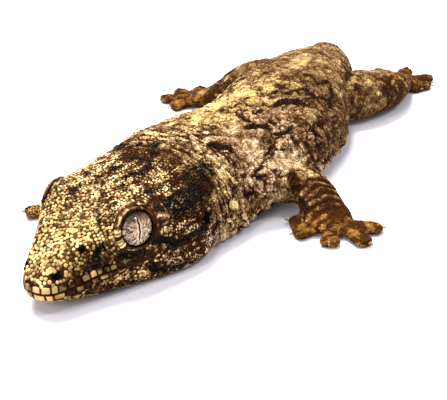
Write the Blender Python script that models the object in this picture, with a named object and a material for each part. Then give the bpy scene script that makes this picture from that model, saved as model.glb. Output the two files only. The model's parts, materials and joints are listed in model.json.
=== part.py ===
"""A baby New Caledonian giant gecko, lying on its belly with its head down and its legs spread.

The animal faces -Y, its left side is +X and +Z is up. The floor is z = 0.
Lengths in this file are millimetres, and meshes are written in metres.
Distances named "back" are measured from the tip of the snout towards the tail.
"""

import math

import bmesh
import bpy
from mathutils import Vector

MM = 0.001
GAP = 0.3
EYE_GAP = 0.2
WELD = 0.002
ORIGIN_BACK = 50.0

BODY_COLLECTION = "giant_gecko"
CUTTER_COLLECTION = "gecko_cutters"

# Where the trunk is parted, as distances back from the snout
HEAD_END = 22.0
NECK_END = 29.0
CHEST_END = 45.0
BELLY_END = 62.0
HIPS_END = 75.0
TAIL_MIDDLE = 93.0
TRUNK_PIECES = (
    ("neck", HEAD_END, NECK_END),
    ("chest", NECK_END, CHEST_END),
    ("belly", CHEST_END, BELLY_END),
    ("hips", BELLY_END, HIPS_END),
)

# Slices of the animal from snout to tail tip:
# side shift, back, half width, top, widest height, underside, roundness above, roundness below
AXIS = (
    (0.80, 0.15, 0.85, 3.80, 2.95, 2.40, 2.0, 2.0),
    (0.77, 0.50, 1.50, 4.45, 2.95, 2.02, 2.1, 2.1),
    (0.72, 1.15, 2.18, 5.05, 2.95, 1.62, 2.2, 2.2),
    (0.63, 2.15, 2.88, 5.75, 2.95, 1.17, 2.2, 2.4),
    (0.50, 3.60, 3.78, 6.60, 2.95, 0.68, 2.2, 2.6),
    (0.30, 6.00, 5.12, 7.85, 2.90, 0.14, 2.3, 2.8),
    (0.12, 9.00, 6.50, 9.15, 2.80, -0.30, 2.4, 3.0),
    (0.00, 11.50, 7.55, 10.00, 2.70, -0.50, 2.5, 3.2),
    (0.00, 14.00, 8.55, 10.45, 2.60, -0.60, 2.5, 3.2),
    (0.00, 17.00, 9.40, 10.75, 2.60, -0.60, 2.5, 3.2),
    (0.00, 19.50, 9.60, 10.90, 2.60, -0.60, 2.5, 3.2),
    (0.00, 22.00, 9.35, 11.05, 2.60, -0.50, 2.4, 3.0),
    (0.00, 25.00, 9.80, 11.20, 2.60, -0.50, 2.4, 3.0),
    (0.10, 29.00, 10.05, 11.40, 2.70, -0.50, 2.4, 2.9),
    (0.60, 34.00, 9.80, 11.30, 2.80, -0.50, 2.3, 2.8),
    (1.20, 40.00, 9.60, 11.00, 3.00, -0.50, 2.2, 2.8),
    (0.80, 47.00, 9.80, 11.20, 3.10, -0.50, 2.3, 2.8),
    (-0.50, 54.00, 9.70, 11.50, 3.10, -0.50, 2.3, 2.8),
    (-1.80, 60.00, 8.50, 11.50, 3.20, -0.45, 2.3, 2.7),
    (-2.80, 65.00, 7.15, 11.20, 3.30, -0.35, 2.2, 2.6),
    (-3.50, 70.00, 5.90, 10.20, 3.50, -0.25, 2.1, 2.4),
    (-4.40, 74.00, 4.80, 8.90, 3.60, -0.15, 2.0, 2.2),
    (-6.20, 78.40, 3.90, 7.70, 3.50, -0.10, 2.0, 2.0),
    (-8.90, 82.20, 3.30, 6.70, 3.10, -0.10, 2.0, 2.0),
    (-11.70, 84.70, 2.60, 5.50, 2.60, -0.10, 2.0, 2.0),
    (-14.20, 85.10, 1.75, 3.50, 1.70, -0.10, 2.0, 2.0),
    (-16.40, 83.80, 1.35, 2.60, 1.25, -0.10, 2.0, 2.0),
    (-17.70, 81.50, 1.15, 2.20, 1.05, -0.10, 2.0, 2.0),
    (-17.90, 78.80, 0.95, 1.80, 0.85, -0.10, 2.0, 2.0),
    (-17.20, 76.20, 0.65, 1.25, 0.60, -0.08, 2.0, 2.0),
    (-16.30, 74.40, 0.38, 0.75, 0.35, -0.05, 2.0, 2.0),
)
HEAD_SIDES = 36
TRUNK_SIDES = 32
TAIL_SIDES = 20
HEAD_STEP = 1.0
TRUNK_STEP = 1.9
TAIL_STEP = 1.7
HEADING_REACH = 0.4
TAIL_TIP_ROUND = 0.6
TAIL_TIP_REACH = 0.5

# Soft swellings and hollows of the head:
# back, angle above the side in degrees, rise, spread back, spread in degrees
HEAD_FORMS = (
    ("brow", 10.6, 46.0, 1.30, 2.4, 12.0),
    ("canthus", 5.5, 48.0, 0.30, 2.6, 11.0),
    ("nostril_swell", 2.0, 42.0, 0.22, 1.1, 16.0),
    ("loreal_hollow", 6.2, 20.0, -0.40, 2.2, 13.0),
    ("forehead_hollow", 9.5, 90.0, -0.45, 3.2, 20.0),
    ("temple", 16.5, 38.0, 0.15, 3.0, 16.0),
    ("jaw_muscle", 17.6, -5.0, 0.35, 2.6, 20.0),
)
NOSE_ROUND = 0.12
SNOUT_ROUND = 2.0
LIP_RISE = 0.20
LIP_SPREAD = 0.55
LIP_FADE_FRONT = 0.8
LIP_FADE_REAR = 4.0
LIP_LEAST_SIDE = 0.5
SOFT_FORMS_END = 26.0

# Line of the mouth: back, height
MOUTH_LINE = (
    (-2.0, 2.90), (0.4, 3.00), (1.2, 3.00), (2.5, 3.12), (3.9, 3.32), (6.0, 3.58),
    (8.6, 3.85), (10.0, 4.15), (11.3, 4.60), (13.3, 5.25), (15.2, 5.65), (17.2, 5.80),
)
JAW_REAR = 17.2
JAW_REAR_SLANT = 1.6
JAW_BLOCK_FRONT = -1.5
JAW_BLOCK_BOTTOM = -2.0
JAW_BLOCK_STEP = 0.9

# The jaw lies lower between the lips, under the eyes: side, share of the drop
PALATE_PROFILE = ((-14.0, 0.0), (-6.5, 0.0), (-5.6, 1.0), (5.6, 1.0), (6.5, 0.0), (14.0, 0.0))
PALATE_DROP = 1.3
PALATE_START = 7.5
PALATE_SLOPE = 2.0

EYE_RADIUS = 2.42
EYE_BACK = 11.45
EYE_SIDE = 5.00
EYE_HEIGHT = 7.15
EYE_FORWARD_TURN = math.radians(17.0)
EYE_UP_TURN = math.radians(13.0)
EYE_SIDES = 20
CUP_SIDES = 24
HOLE_SIDES = 12
LID_REACH = 0.55
LID_RING = 2.40
LID_THICK = 0.55
LID_DEPTH = 1.15
LID_SIDES = 24
LID_EDGE_SIDES = 8

SNOUT_SHIFT = 0.62
NOSTRIL_BACK = 1.85
NOSTRIL_SIDE = 2.15
NOSTRIL_HEIGHT = 4.95
NOSTRIL_RADII = (0.62, 0.36, 0.34)
EAR_BACK = 20.0
EAR_SIDE = 9.0
EAR_HEIGHT = 5.4
EAR_RADII = (0.85, 0.42, 0.95)

# Limb rows: side, back, height, half width, half height
ARM_LEFT = (
    (6.0, 29.0, 5.6, 3.1, 2.9),
    (9.4, 32.6, 5.1, 2.9, 2.8),
    (11.9, 35.9, 4.1, 2.6, 2.5),
    (14.5, 36.3, 3.1, 2.8, 2.2),
    (16.6, 34.8, 2.1, 3.2, 1.7),
    (18.5, 34.2, 1.25, 3.1, 1.2),
    (19.8, 33.5, 0.9, 2.3, 0.85),
)
ARM_RIGHT = (
    (-5.6, 30.0, 5.0, 3.0, 2.8),
    (-9.8, 29.2, 4.0, 2.6, 2.4),
    (-12.6, 26.6, 2.9, 2.0, 2.0),
    (-13.2, 23.6, 2.3, 1.9, 1.8),
    (-12.9, 20.9, 1.7, 1.8, 1.5),
    (-12.5, 18.8, 1.2, 2.1, 1.15),
    (-12.2, 17.4, 0.9, 1.8, 0.85),
)
LEG_LEFT = (
    (0.4, 63.4, 4.3, 4.0, 3.9),
    (4.0, 67.6, 4.1, 4.1, 3.9),
    (6.2, 72.7, 3.6, 3.7, 3.4),
    (6.6, 77.3, 2.8, 3.0, 2.7),
    (5.8, 81.9, 1.9, 2.4, 1.7),
    (4.9, 85.8, 1.2, 2.5, 1.15),
    (4.9, 87.8, 0.9, 2.0, 0.85),
)
LEG_RIGHT = (
    (-3.4, 66.8, 5.0, 3.4, 3.3),
    (-8.6, 64.8, 5.6, 3.2, 3.1),
    (-12.5, 62.1, 5.4, 2.5, 2.5),
    (-14.9, 60.7, 3.9, 2.2, 2.1),
    (-17.4, 59.6, 2.3, 2.0, 1.6),
    (-20.4, 58.9, 1.25, 2.5, 1.2),
    (-22.0, 58.4, 0.9, 2.0, 0.85),
)
UPPER_END = 2.05
LOWER_END = 4.25
LIMB_STEPS = 5
LIMB_SIDES = 16
LIMB_REACH = 0.08
LIMB_HEADING_REACH = 1.2
LIMB_ROUND = 0.35
LIMB_CUT_SHARE = 0.9
PALM_ROW = 5
CLEARANCE_START = 8.0
CLEARANCE_STOP = 90.0

# Digits: heading in degrees from +X towards the tail, reach from the palm's centre
HAND_LEFT_DIGITS = ((202.0, 6.5), (238.0, 6.5), (294.0, 5.9), (346.0, 7.0), (26.0, 7.2))
HAND_RIGHT_DIGITS = ((104.0, 4.8), (140.0, 5.6), (172.0, 5.2), (224.0, 6.4), (280.0, 4.6))
FOOT_LEFT_DIGITS = ((348.0, 5.2), (17.0, 6.2), (62.0, 7.6), (107.0, 8.3), (152.0, 8.4))
FOOT_RIGHT_DIGITS = ((240.0, 6.0), (197.0, 7.6), (160.0, 7.4), (122.0, 7.4), (80.0, 6.4))
HAND_LEFT_SIZE = 1.04
HAND_RIGHT_SIZE = 1.15
FOOT_SIZE = 1.14
DIGIT_SIDES = 8
CLAW_LENGTH = 1.15
CLAW_RADIUS = 0.27
CLAW_SIDES = 6
CLAW_RINGS = 4
CLAW_TAPER = 0.7
CLAW_HEIGHT = 0.62
CLAW_ARCH = 0.42
CLAW_TIP_HEIGHT = 0.42
CLAW_DEEP = 1.25
PAD_BEHIND_CLAW = 0.55

# One digit: share of its reach, half width, half height, height of the middle
DIGIT_ROWS = (
    (0.10, 0.60, 0.50, 0.80),
    (0.30, 0.86, 0.66, 0.78),
    (0.50, 0.90, 0.64, 0.72),
    (0.66, 1.18, 0.60, 0.60),
    (0.80, 1.32, 0.58, 0.55),
    (0.91, 1.12, 0.52, 0.52),
    (0.98, 0.55, 0.30, 0.50),
)

ARM = ("upper_arm", "forearm", "hand")
LEG = ("thigh", "shank", "foot")
LIMBS = (
    (ARM, "left", ARM_LEFT, HAND_LEFT_DIGITS, HAND_LEFT_SIZE),
    (ARM, "right", ARM_RIGHT, HAND_RIGHT_DIGITS, HAND_RIGHT_SIZE),
    (LEG, "left", LEG_LEFT, FOOT_LEFT_DIGITS, FOOT_SIZE),
    (LEG, "right", LEG_RIGHT, FOOT_RIGHT_DIGITS, FOOT_SIZE),
)

COLOURS = {
    "skin": (0.42, 0.31, 0.17, 1.0),
    "eye": (0.62, 0.52, 0.46, 1.0),
    "foot_skin": (0.30, 0.19, 0.08, 1.0),
}


def clear_scene():
    """Take away whatever the file starts with."""
    for thing in list(bpy.data.objects):
        bpy.data.objects.remove(thing, do_unlink=True)


def collection(name):
    """Make a collection and link it to the scene."""
    group = bpy.data.collections.new(name)
    bpy.context.scene.collection.children.link(group)
    return group


def material(name, colour, roughness):
    """Make a plain material."""
    made = bpy.data.materials.new(name)
    made.use_nodes = True
    shader = made.node_tree.nodes["Principled BSDF"]
    shader.inputs["Base Color"].default_value = colour
    shader.inputs["Roughness"].default_value = roughness
    return made


def smooth_row(rows, keys, at):
    """Read a table of rows between its keys with a smooth curve through them."""
    last = len(keys) - 1
    at = min(max(at, keys[0]), keys[last])
    i = 0
    while i < last - 1 and keys[i + 1] < at:
        i += 1
    span = keys[i + 1] - keys[i]
    t = (at - keys[i]) / span
    out = []
    for column in range(len(rows[0])):
        a = rows[i][column]
        b = rows[i + 1][column]
        before = slope_at(rows, keys, i, column) * span
        after = slope_at(rows, keys, i + 1, column) * span
        cubic = (2 * t ** 3 - 3 * t ** 2 + 1) * a + (t ** 3 - 2 * t ** 2 + t) * before
        cubic += (3 * t ** 2 - 2 * t ** 3) * b + (t ** 3 - t ** 2) * after
        out.append(cubic)
    return out


def slope_at(rows, keys, i, column):
    """Slope of one column at a row, from its neighbours."""
    low = max(i - 1, 0)
    high = min(i + 1, len(keys) - 1)
    return (rows[high][column] - rows[low][column]) / (keys[high] - keys[low])


def axis_keys():
    """Distance along the animal of every row of its axis."""
    keys = [0.0]
    for before, after in zip(AXIS, AXIS[1:]):
        keys.append(keys[-1] + math.hypot(after[0] - before[0], after[1] - before[1]))
    return keys


AXIS_KEYS = axis_keys()


def mouth_height(back):
    """Height of the line of the mouth at a distance back."""
    keys = [row[0] for row in MOUTH_LINE]
    return smooth_row(MOUTH_LINE, keys, back)[1]


def head_rise(back, across, height, middle):
    """How far the head's soft forms lift a point of its surface."""
    degrees = math.degrees(math.atan2(height - middle, abs(across)))
    rise = 0.0
    for name, form_back, form_angle, lift, spread, wide in HEAD_FORMS:
        along = (back - form_back) / spread
        round_it = (degrees - form_angle) / wide
        rise += lift * math.exp(-0.5 * (along * along + round_it * round_it))
    if back < JAW_REAR and abs(across) > LIP_LEAST_SIDE:
        from_lip = (height - mouth_height(back)) / LIP_SPREAD
        fade = min(1.0, (JAW_REAR - back) / LIP_FADE_REAR) * min(1.0, back / LIP_FADE_FRONT)
        rise += LIP_RISE * fade * math.exp(-0.5 * from_lip * from_lip)
    return rise


def axis_ring(at, sides, grow):
    """Points of one slice across the animal, grown outwards by a clearance."""
    row = smooth_row(AXIS, AXIS_KEYS, at)
    ahead = smooth_row(AXIS, AXIS_KEYS, at + HEADING_REACH)
    behind = smooth_row(AXIS, AXIS_KEYS, at - HEADING_REACH)
    side_shift, back, half_width, top, middle, under, above_power, below_power = row
    heading = Vector((ahead[0] - behind[0], ahead[1] - behind[1], 0.0)).normalized()
    across = Vector((heading.y, -heading.x, 0.0))
    points = []
    for i in range(sides):
        angle = 2.0 * math.pi * i / sides
        c = math.cos(angle)
        s = math.sin(angle)
        power = above_power if s >= 0.0 else below_power
        reach = top - middle if s >= 0.0 else middle - under
        u = half_width * math.copysign(abs(c) ** (2.0 / power), c)
        v = middle + reach * math.copysign(abs(s) ** (2.0 / power), s)
        rise = grow
        if back < SOFT_FORMS_END:
            rise += head_rise(back, u, v, middle)
        out = Vector((c / half_width, s / reach)).normalized()
        u += out.x * rise
        v += out.y * rise
        v = max(v, -grow)
        point = Vector((side_shift, back, 0.0)) + across * u
        point.z = v
        points.append(point)
    return points


def mesh_object(name, vertices, faces, group):
    """Write a closed mesh, given in millimetres, as an object in metres."""
    mesh = bpy.data.meshes.new(name)
    shifted = [((p[0]) * MM, (p[1] - ORIGIN_BACK) * MM, p[2] * MM) for p in vertices]
    mesh.from_pydata(shifted, [], faces)
    mesh.update()
    thing = bpy.data.objects.new(name, mesh)
    group.objects.link(thing)
    tidy(thing)
    return thing


def tidy(thing):
    """Weld a mesh, turn its faces outwards and drop what is left of slivers."""
    work = bmesh.new()
    work.from_mesh(thing.data)
    bmesh.ops.remove_doubles(work, verts=work.verts, dist=WELD * MM)
    bmesh.ops.dissolve_degenerate(work, edges=work.edges, dist=WELD * MM)
    bmesh.ops.recalc_face_normals(work, faces=work.faces)
    work.to_mesh(thing.data)
    work.free()


def loft(name, rings, group, nose=None, end=None):
    """Skin a row of rings, closing its ends flat or with a point."""
    sides = len(rings[0])
    vertices = [point for ring in rings for point in ring]
    faces = []
    for r in range(len(rings) - 1):
        for i in range(sides):
            j = (i + 1) % sides
            a = r * sides
            b = a + sides
            faces.append((a + i, a + j, b + j, b + i))
    last = (len(rings) - 1) * sides
    if nose is None:
        faces.append(tuple(range(sides)))
    else:
        vertices.append(nose)
        tip = len(vertices) - 1
        faces.extend((tip, (i + 1) % sides, i) for i in range(sides))
    if end is None:
        faces.append(tuple(last + i for i in reversed(range(sides))))
    else:
        vertices.append(end)
        tip = len(vertices) - 1
        faces.extend((tip, last + i, last + (i + 1) % sides) for i in range(sides))
    return mesh_object(name, vertices, faces, group)


def stations(start, stop, step):
    """Evenly spaced distances from start to stop, about a step apart."""
    count = max(2, round((stop - start) / step) + 1)
    return [start + (stop - start) * i / (count - 1) for i in range(count)]


def axis_piece(name, start, stop, sides, step, group, grow=0.0):
    """A length of the animal between two distances back."""
    rings = [axis_ring(at, sides, grow) for at in stations(start, stop, step)]
    return loft(name, rings, group)


def head_piece(group):
    """The whole head as one solid, with a rounded snout."""
    marks = [SNOUT_ROUND * share for share in (0.0, 0.07, 0.17, 0.32, 0.50, 0.75)]
    marks += stations(SNOUT_ROUND, HEAD_END - GAP / 2.0, HEAD_STEP)
    rings = [axis_ring(at, HEAD_SIDES, 0.0) for at in marks]
    first = AXIS[0]
    return loft("head", rings, group, nose=Vector((first[0], first[1] - NOSE_ROUND, first[4])))


def tail_piece(group):
    """The last length of the tail, closed with a rounded tip."""
    start = TAIL_MIDDLE + GAP / 2.0
    stop = AXIS_KEYS[-1]
    rings = [axis_ring(at, TAIL_SIDES, 0.0) for at in stations(start, stop, TAIL_STEP)]
    before = smooth_row(AXIS, AXIS_KEYS, stop - TAIL_TIP_REACH)
    last = AXIS[-1]
    tip = Vector((last[0], last[1], last[4]))
    tip.x += (last[0] - before[0]) * TAIL_TIP_ROUND
    tip.y += (last[1] - before[1]) * TAIL_TIP_ROUND
    return loft("tail_tip", rings, group, end=tip)


def boolean(target, other, operation):
    """Apply one Boolean to target and keep only its largest closed surface."""
    change = target.modifiers.new("change", "BOOLEAN")
    change.operation = operation
    change.solver = "EXACT"
    change.object = other
    settle(target, change)


def settle(target, change):
    """Turn a modifier into plain mesh."""
    bpy.context.view_layer.update()
    graph = bpy.context.evaluated_depsgraph_get()
    mesh = bpy.data.meshes.new_from_object(target.evaluated_get(graph), depsgraph=graph)
    target.modifiers.remove(change)
    old = target.data
    target.data = mesh
    bpy.data.meshes.remove(old)
    tidy(target)
    keep_largest(target)


def keep_largest(thing):
    """Drop every loose scrap but the largest."""
    work = bmesh.new()
    work.from_mesh(thing.data)
    work.verts.ensure_lookup_table()
    seen = set()
    islands = []
    for start in work.verts:
        if start.index in seen:
            continue
        island = []
        queue = [start]
        seen.add(start.index)
        while queue:
            vertex = queue.pop()
            island.append(vertex)
            for edge in vertex.link_edges:
                other = edge.other_vert(vertex)
                if other.index not in seen:
                    seen.add(other.index)
                    queue.append(other)
        islands.append(island)
    islands.sort(key=len, reverse=True)
    scraps = [vertex for island in islands[1:] for vertex in island]
    if scraps:
        bmesh.ops.delete(work, geom=scraps, context="VERTS")
    work.to_mesh(thing.data)
    work.free()


def fuse(target, pieces):
    """Join a row of closed pieces to target in one Boolean, then remove them."""
    group = bpy.data.collections.new(target.name + "_pieces")
    bpy.context.scene.collection.children.link(group)
    for piece in pieces:
        for old in list(piece.users_collection):
            old.objects.unlink(piece)
        group.objects.link(piece)
    change = target.modifiers.new("fuse", "BOOLEAN")
    change.operation = "UNION"
    change.solver = "EXACT"
    change.operand_type = "COLLECTION"
    change.collection = group
    settle(target, change)
    for piece in pieces:
        bpy.data.objects.remove(piece, do_unlink=True)
    bpy.data.collections.remove(group)


def duplicate(thing, name, group):
    """Copy an object with its own mesh."""
    copy = thing.copy()
    copy.data = thing.data.copy()
    copy.name = name
    group.objects.link(copy)
    return copy


def jaw_block(name, clearance, group):
    """The space under the line of the mouth, as a block right across the head."""
    marks = stations(JAW_BLOCK_FRONT, JAW_REAR + clearance, JAW_BLOCK_STEP)
    rings = []
    for side, share in PALATE_PROFILE:
        ring = []
        for back in marks:
            fall = PALATE_DROP * share * min(1.0, max(0.0, (back - PALATE_START) / PALATE_SLOPE))
            ring.append(Vector((side, back, mouth_height(back) + clearance - fall)))
        ring.append(Vector((side, JAW_REAR + JAW_REAR_SLANT + clearance, JAW_BLOCK_BOTTOM)))
        ring.append(Vector((side, JAW_BLOCK_FRONT, JAW_BLOCK_BOTTOM)))
        rings.append(ring)
    return loft(name, rings, group)


def ball(name, centre, radii, axes, sides, group):
    """A ball or egg with its radii along given axes."""
    rings = []
    levels = sides // 2
    for level in range(1, levels):
        tilt = math.pi * level / levels
        ring = []
        for i in range(sides):
            angle = 2.0 * math.pi * i / sides
            u = math.sin(tilt) * math.cos(angle) * radii[1]
            v = math.sin(tilt) * math.sin(angle) * radii[2]
            w = math.cos(tilt) * radii[0]
            ring.append(centre + axes[1] * u + axes[2] * v + axes[0] * w)
        rings.append(ring)
    nose = centre + axes[0] * radii[0]
    end = centre - axes[0] * radii[0]
    return loft(name, rings, group, nose=nose, end=end)


def ring_tube(name, centre, axes, group):
    """The closed rim of an eyelid, standing around the first axis."""
    around = LID_SIDES
    sides = LID_EDGE_SIDES
    vertices = []
    for i in range(around):
        angle = 2.0 * math.pi * i / around
        out = axes[1] * math.cos(angle) + axes[2] * math.sin(angle)
        for j in range(sides):
            turn = 2.0 * math.pi * j / sides
            point = centre + out * (LID_RING + LID_THICK * math.cos(turn))
            vertices.append(point + axes[0] * LID_DEPTH * math.sin(turn))
    faces = []
    for i in range(around):
        k = (i + 1) % around
        for j in range(sides):
            m = (j + 1) % sides
            faces.append((i * sides + j, k * sides + j, k * sides + m, i * sides + m))
    return mesh_object(name, vertices, faces, group)


def eye_frame(side):
    """Centre and axes of one eye; the first axis looks out of the socket."""
    turn = EYE_FORWARD_TURN
    lift = EYE_UP_TURN
    out = math.cos(turn) * math.cos(lift)
    look = Vector((side * out, -math.sin(turn) * math.cos(lift), math.sin(lift)))
    along = Vector((0.0, 0.0, 1.0)).cross(look).normalized()
    up = look.cross(along).normalized()
    return Vector((side * EYE_SIDE, EYE_BACK, EYE_HEIGHT)), (look, along, up)


def plain_axes(side):
    """Axes that point out to one side, back and up."""
    return (Vector((side, 0.0, 0.0)), Vector((0.0, 1.0, 0.0)), Vector((0.0, 0.0, 1.0)))


def make_head(group, cutters):
    """The head with its jaw parted from it, eye cups, lids, nostrils and ears."""
    whole = head_piece(group)
    jaw = duplicate(whole, "lower_jaw", group)
    boolean(jaw, jaw_block("jaw_limit", -GAP / 2.0, cutters), "INTERSECT")
    lids = []
    for side, word in ((1.0, "left"), (-1.0, "right")):
        centre, axes = eye_frame(side)
        rim = centre + axes[0] * LID_REACH
        lids.append(ring_tube("lid_" + word, rim, axes, group))
    fuse(whole, lids)
    boolean(whole, jaw_block("jaw_space", GAP / 2.0, cutters), "DIFFERENCE")
    eyes = []
    for side, word in ((1.0, "left"), (-1.0, "right")):
        centre, axes = eye_frame(side)
        cup = EYE_RADIUS + EYE_GAP
        socket = ball("cup_" + word, centre, (cup, cup, cup), axes, CUP_SIDES, cutters)
        boolean(whole, socket, "DIFFERENCE")
        plain = plain_axes(side)
        nose_place = Vector((SNOUT_SHIFT + side * NOSTRIL_SIDE, NOSTRIL_BACK, NOSTRIL_HEIGHT))
        nostril = ball("nostril_" + word, nose_place, NOSTRIL_RADII, plain, HOLE_SIDES, cutters)
        boolean(whole, nostril, "DIFFERENCE")
        ear_place = Vector((side * EAR_SIDE, EAR_BACK, EAR_HEIGHT))
        ear = ball("ear_" + word, ear_place, EAR_RADII, plain, HOLE_SIDES, cutters)
        boolean(whole, ear, "DIFFERENCE")
        r = EYE_RADIUS
        eyes.append(ball("eye_" + word, centre, (r, r, r), axes, EYE_SIDES, group))
    return [whole, jaw], eyes


def limb_ring(rows, at, sides, grow):
    """Points of one slice across a limb, grown outwards by a clearance."""
    keys = list(range(len(rows)))
    x, y, z, half_width, half_height = smooth_row(rows, keys, at)
    ahead = smooth_row(rows, keys, at + LIMB_HEADING_REACH)
    behind = smooth_row(rows, keys, at - LIMB_HEADING_REACH)
    heading = Vector((ahead[0] - behind[0], ahead[1] - behind[1], ahead[2] - behind[2])).normalized()
    across = heading.cross(Vector((0.0, 0.0, 1.0))).normalized()
    up = across.cross(heading).normalized()
    points = []
    for i in range(sides):
        angle = 2.0 * math.pi * i / sides
        point = Vector((x, y, z)) + across * (half_width + grow) * math.cos(angle)
        point += up * (half_height + grow) * math.sin(angle)
        point.z = max(point.z, -grow)
        points.append(point)
    return points


def limb_piece(name, rows, start, stop, group, rounded_end=False, grow=0.0):
    """A length of a limb between two rows."""
    count = max(3, round((stop - start) * LIMB_STEPS) + 1)
    marks = [start + (stop - start) * i / (count - 1) for i in range(count)]
    rings = [limb_ring(rows, at, LIMB_SIDES, grow) for at in marks]
    if not rounded_end:
        return loft(name, rings, group)
    last = rows[-1]
    before = rows[-2]
    tip = Vector(last[:3])
    tip.x += (last[0] - before[0]) * LIMB_ROUND
    tip.y += (last[1] - before[1]) * LIMB_ROUND
    return loft(name, rings, group, end=tip)


def gap_share(rows, at):
    """Half the clearance as a share of the row spacing, at a place on a limb."""
    keys = list(range(len(rows)))
    a = Vector(smooth_row(rows, keys, at - LIMB_REACH)[:3])
    b = Vector(smooth_row(rows, keys, at + LIMB_REACH)[:3])
    return GAP / 2.0 * (2.0 * LIMB_REACH) / (b - a).length


def digit_piece(name, centre, heading, reach, size, group):
    """One digit with a broad pad, lying on the floor."""
    along = Vector((math.cos(heading), math.sin(heading), 0.0))
    across = Vector((along.y, -along.x, 0.0))
    rings = []
    for share, half_width, half_height, middle in DIGIT_ROWS:
        ring = []
        for i in range(DIGIT_SIDES):
            angle = 2.0 * math.pi * i / DIGIT_SIDES
            point = centre + along * (reach - CLAW_LENGTH * PAD_BEHIND_CLAW) * share
            point = point + across * half_width * size * math.cos(angle)
            point.z = max(0.0, (middle + half_height * math.sin(angle)) * size)
            ring.append(point)
        rings.append(ring)
    return loft(name, rings, group)


def claw_piece(name, centre, heading, reach, size, group):
    """One small hooked claw, rooted in the end of a digit's pad."""
    along = Vector((math.cos(heading), math.sin(heading), 0.0))
    across = Vector((along.y, -along.x, 0.0))
    rings = []
    for step in range(CLAW_RINGS):
        t = step / CLAW_RINGS
        radius = CLAW_RADIUS * size * (1.0 - CLAW_TAPER * t)
        forward = reach - CLAW_LENGTH * (1.0 - t)
        height = (CLAW_HEIGHT + CLAW_ARCH * math.sin(math.pi * (0.15 + 0.75 * t))) * size
        ring = []
        for i in range(CLAW_SIDES):
            angle = 2.0 * math.pi * i / CLAW_SIDES
            point = centre + along * forward + across * radius * math.cos(angle)
            point.z = height + radius * CLAW_DEEP * math.sin(angle)
            ring.append(point)
        rings.append(ring)
    tip = centre + along * reach
    tip.z = CLAW_TIP_HEIGHT * size
    return loft(name, rings, group, end=tip)


def make_limb(words, rows, digits, size, groups, clearance):
    """A whole limb as three solids: upper length, lower length, and foot with its digits."""
    group, cutters = groups
    upper_name, lower_name, end_name = words
    upper_gap = gap_share(rows, UPPER_END)
    lower_gap = gap_share(rows, LOWER_END)
    upper = limb_piece(upper_name, rows, 0.0, UPPER_END - upper_gap, group)
    lower = limb_piece(lower_name, rows, UPPER_END + upper_gap, LOWER_END - lower_gap, group)
    end = limb_piece(end_name, rows, LOWER_END + lower_gap, len(rows) - 1.0, group, True)
    palm = Vector((rows[PALM_ROW][0], rows[PALM_ROW][1], 0.0))
    pieces = []
    for number, (degrees, reach) in enumerate(digits):
        heading = math.radians(degrees)
        pieces.append(digit_piece("digit_%d" % number, palm, heading, reach, size, group))
        pieces.append(claw_piece("claw_%d" % number, palm, heading, reach, size, group))
    fuse(end, pieces)
    reach = (0.0, UPPER_END + upper_gap * LIMB_CUT_SHARE)
    space = limb_piece(upper_name + "_space", rows, *reach, cutters, grow=GAP)
    boolean(lower, space, "DIFFERENCE")
    reach = (UPPER_END, LOWER_END + lower_gap * LIMB_CUT_SHARE)
    space = limb_piece(lower_name + "_space", rows, *reach, cutters, grow=GAP)
    boolean(end, space, "DIFFERENCE")
    for piece in (upper, lower, end):
        boolean(piece, clearance, "DIFFERENCE")
    return [upper, lower, end]


def dress(things, made):
    """Give objects a material and smooth shading."""
    for thing in things:
        thing.data.materials.clear()
        thing.data.materials.append(made)
        for face in thing.data.polygons:
            face.use_smooth = True


def main():
    """Build every part of the animal."""
    clear_scene()
    group = collection(BODY_COLLECTION)
    cutters = collection(CUTTER_COLLECTION)
    half = GAP / 2.0
    flesh, eyes = make_head(group, cutters)
    for name, start, stop in TRUNK_PIECES:
        ends = (start + half, stop - half)
        flesh.append(axis_piece(name, *ends, TRUNK_SIDES, TRUNK_STEP, group))
    ends = (HIPS_END + half, TAIL_MIDDLE - half)
    flesh.append(axis_piece("tail_base", *ends, TAIL_SIDES, TAIL_STEP, group))
    flesh.append(tail_piece(group))
    reach = (CLEARANCE_START, CLEARANCE_STOP)
    clearance = axis_piece("trunk_clearance", *reach, TRUNK_SIDES, TRUNK_STEP, cutters, GAP)
    feet = []
    for parts, side, rows, digits, size in LIMBS:
        words = [part + "_" + side for part in parts]
        groups = (group, cutters)
        upper, lower, end = make_limb(words, rows, digits, size, groups, clearance)
        flesh += [upper, lower]
        feet.append(end)
    dress(flesh, material("gecko_skin", COLOURS["skin"], 0.7))
    dress(eyes, material("gecko_eye", COLOURS["eye"], 0.15))
    dress(feet, material("gecko_foot_skin", COLOURS["foot_skin"], 0.75))
    for cutter in cutters.objects:
        cutter.hide_render = True
        cutter.hide_viewport = True
        cutter.display_type = "WIRE"


main()
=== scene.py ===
"""A baby New Caledonian giant gecko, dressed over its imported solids.

One skin stands over all the flesh, and small raised scales cover it. The eyes, their lids, the
plates of the lips and the claws are pieces of their own. The animal faces -Y, its left side is
+X and the floor is z = 0. Sizes are in millimetres, and "back" is measured from the snout.
"""

import json
import logging
import math
from dataclasses import dataclass
from enum import Enum

import bmesh
import bpy
import numpy as np
from mathutils import Matrix, Vector
from mathutils.bvhtree import BVHTree
from mathutils.kdtree import KDTree

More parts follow.
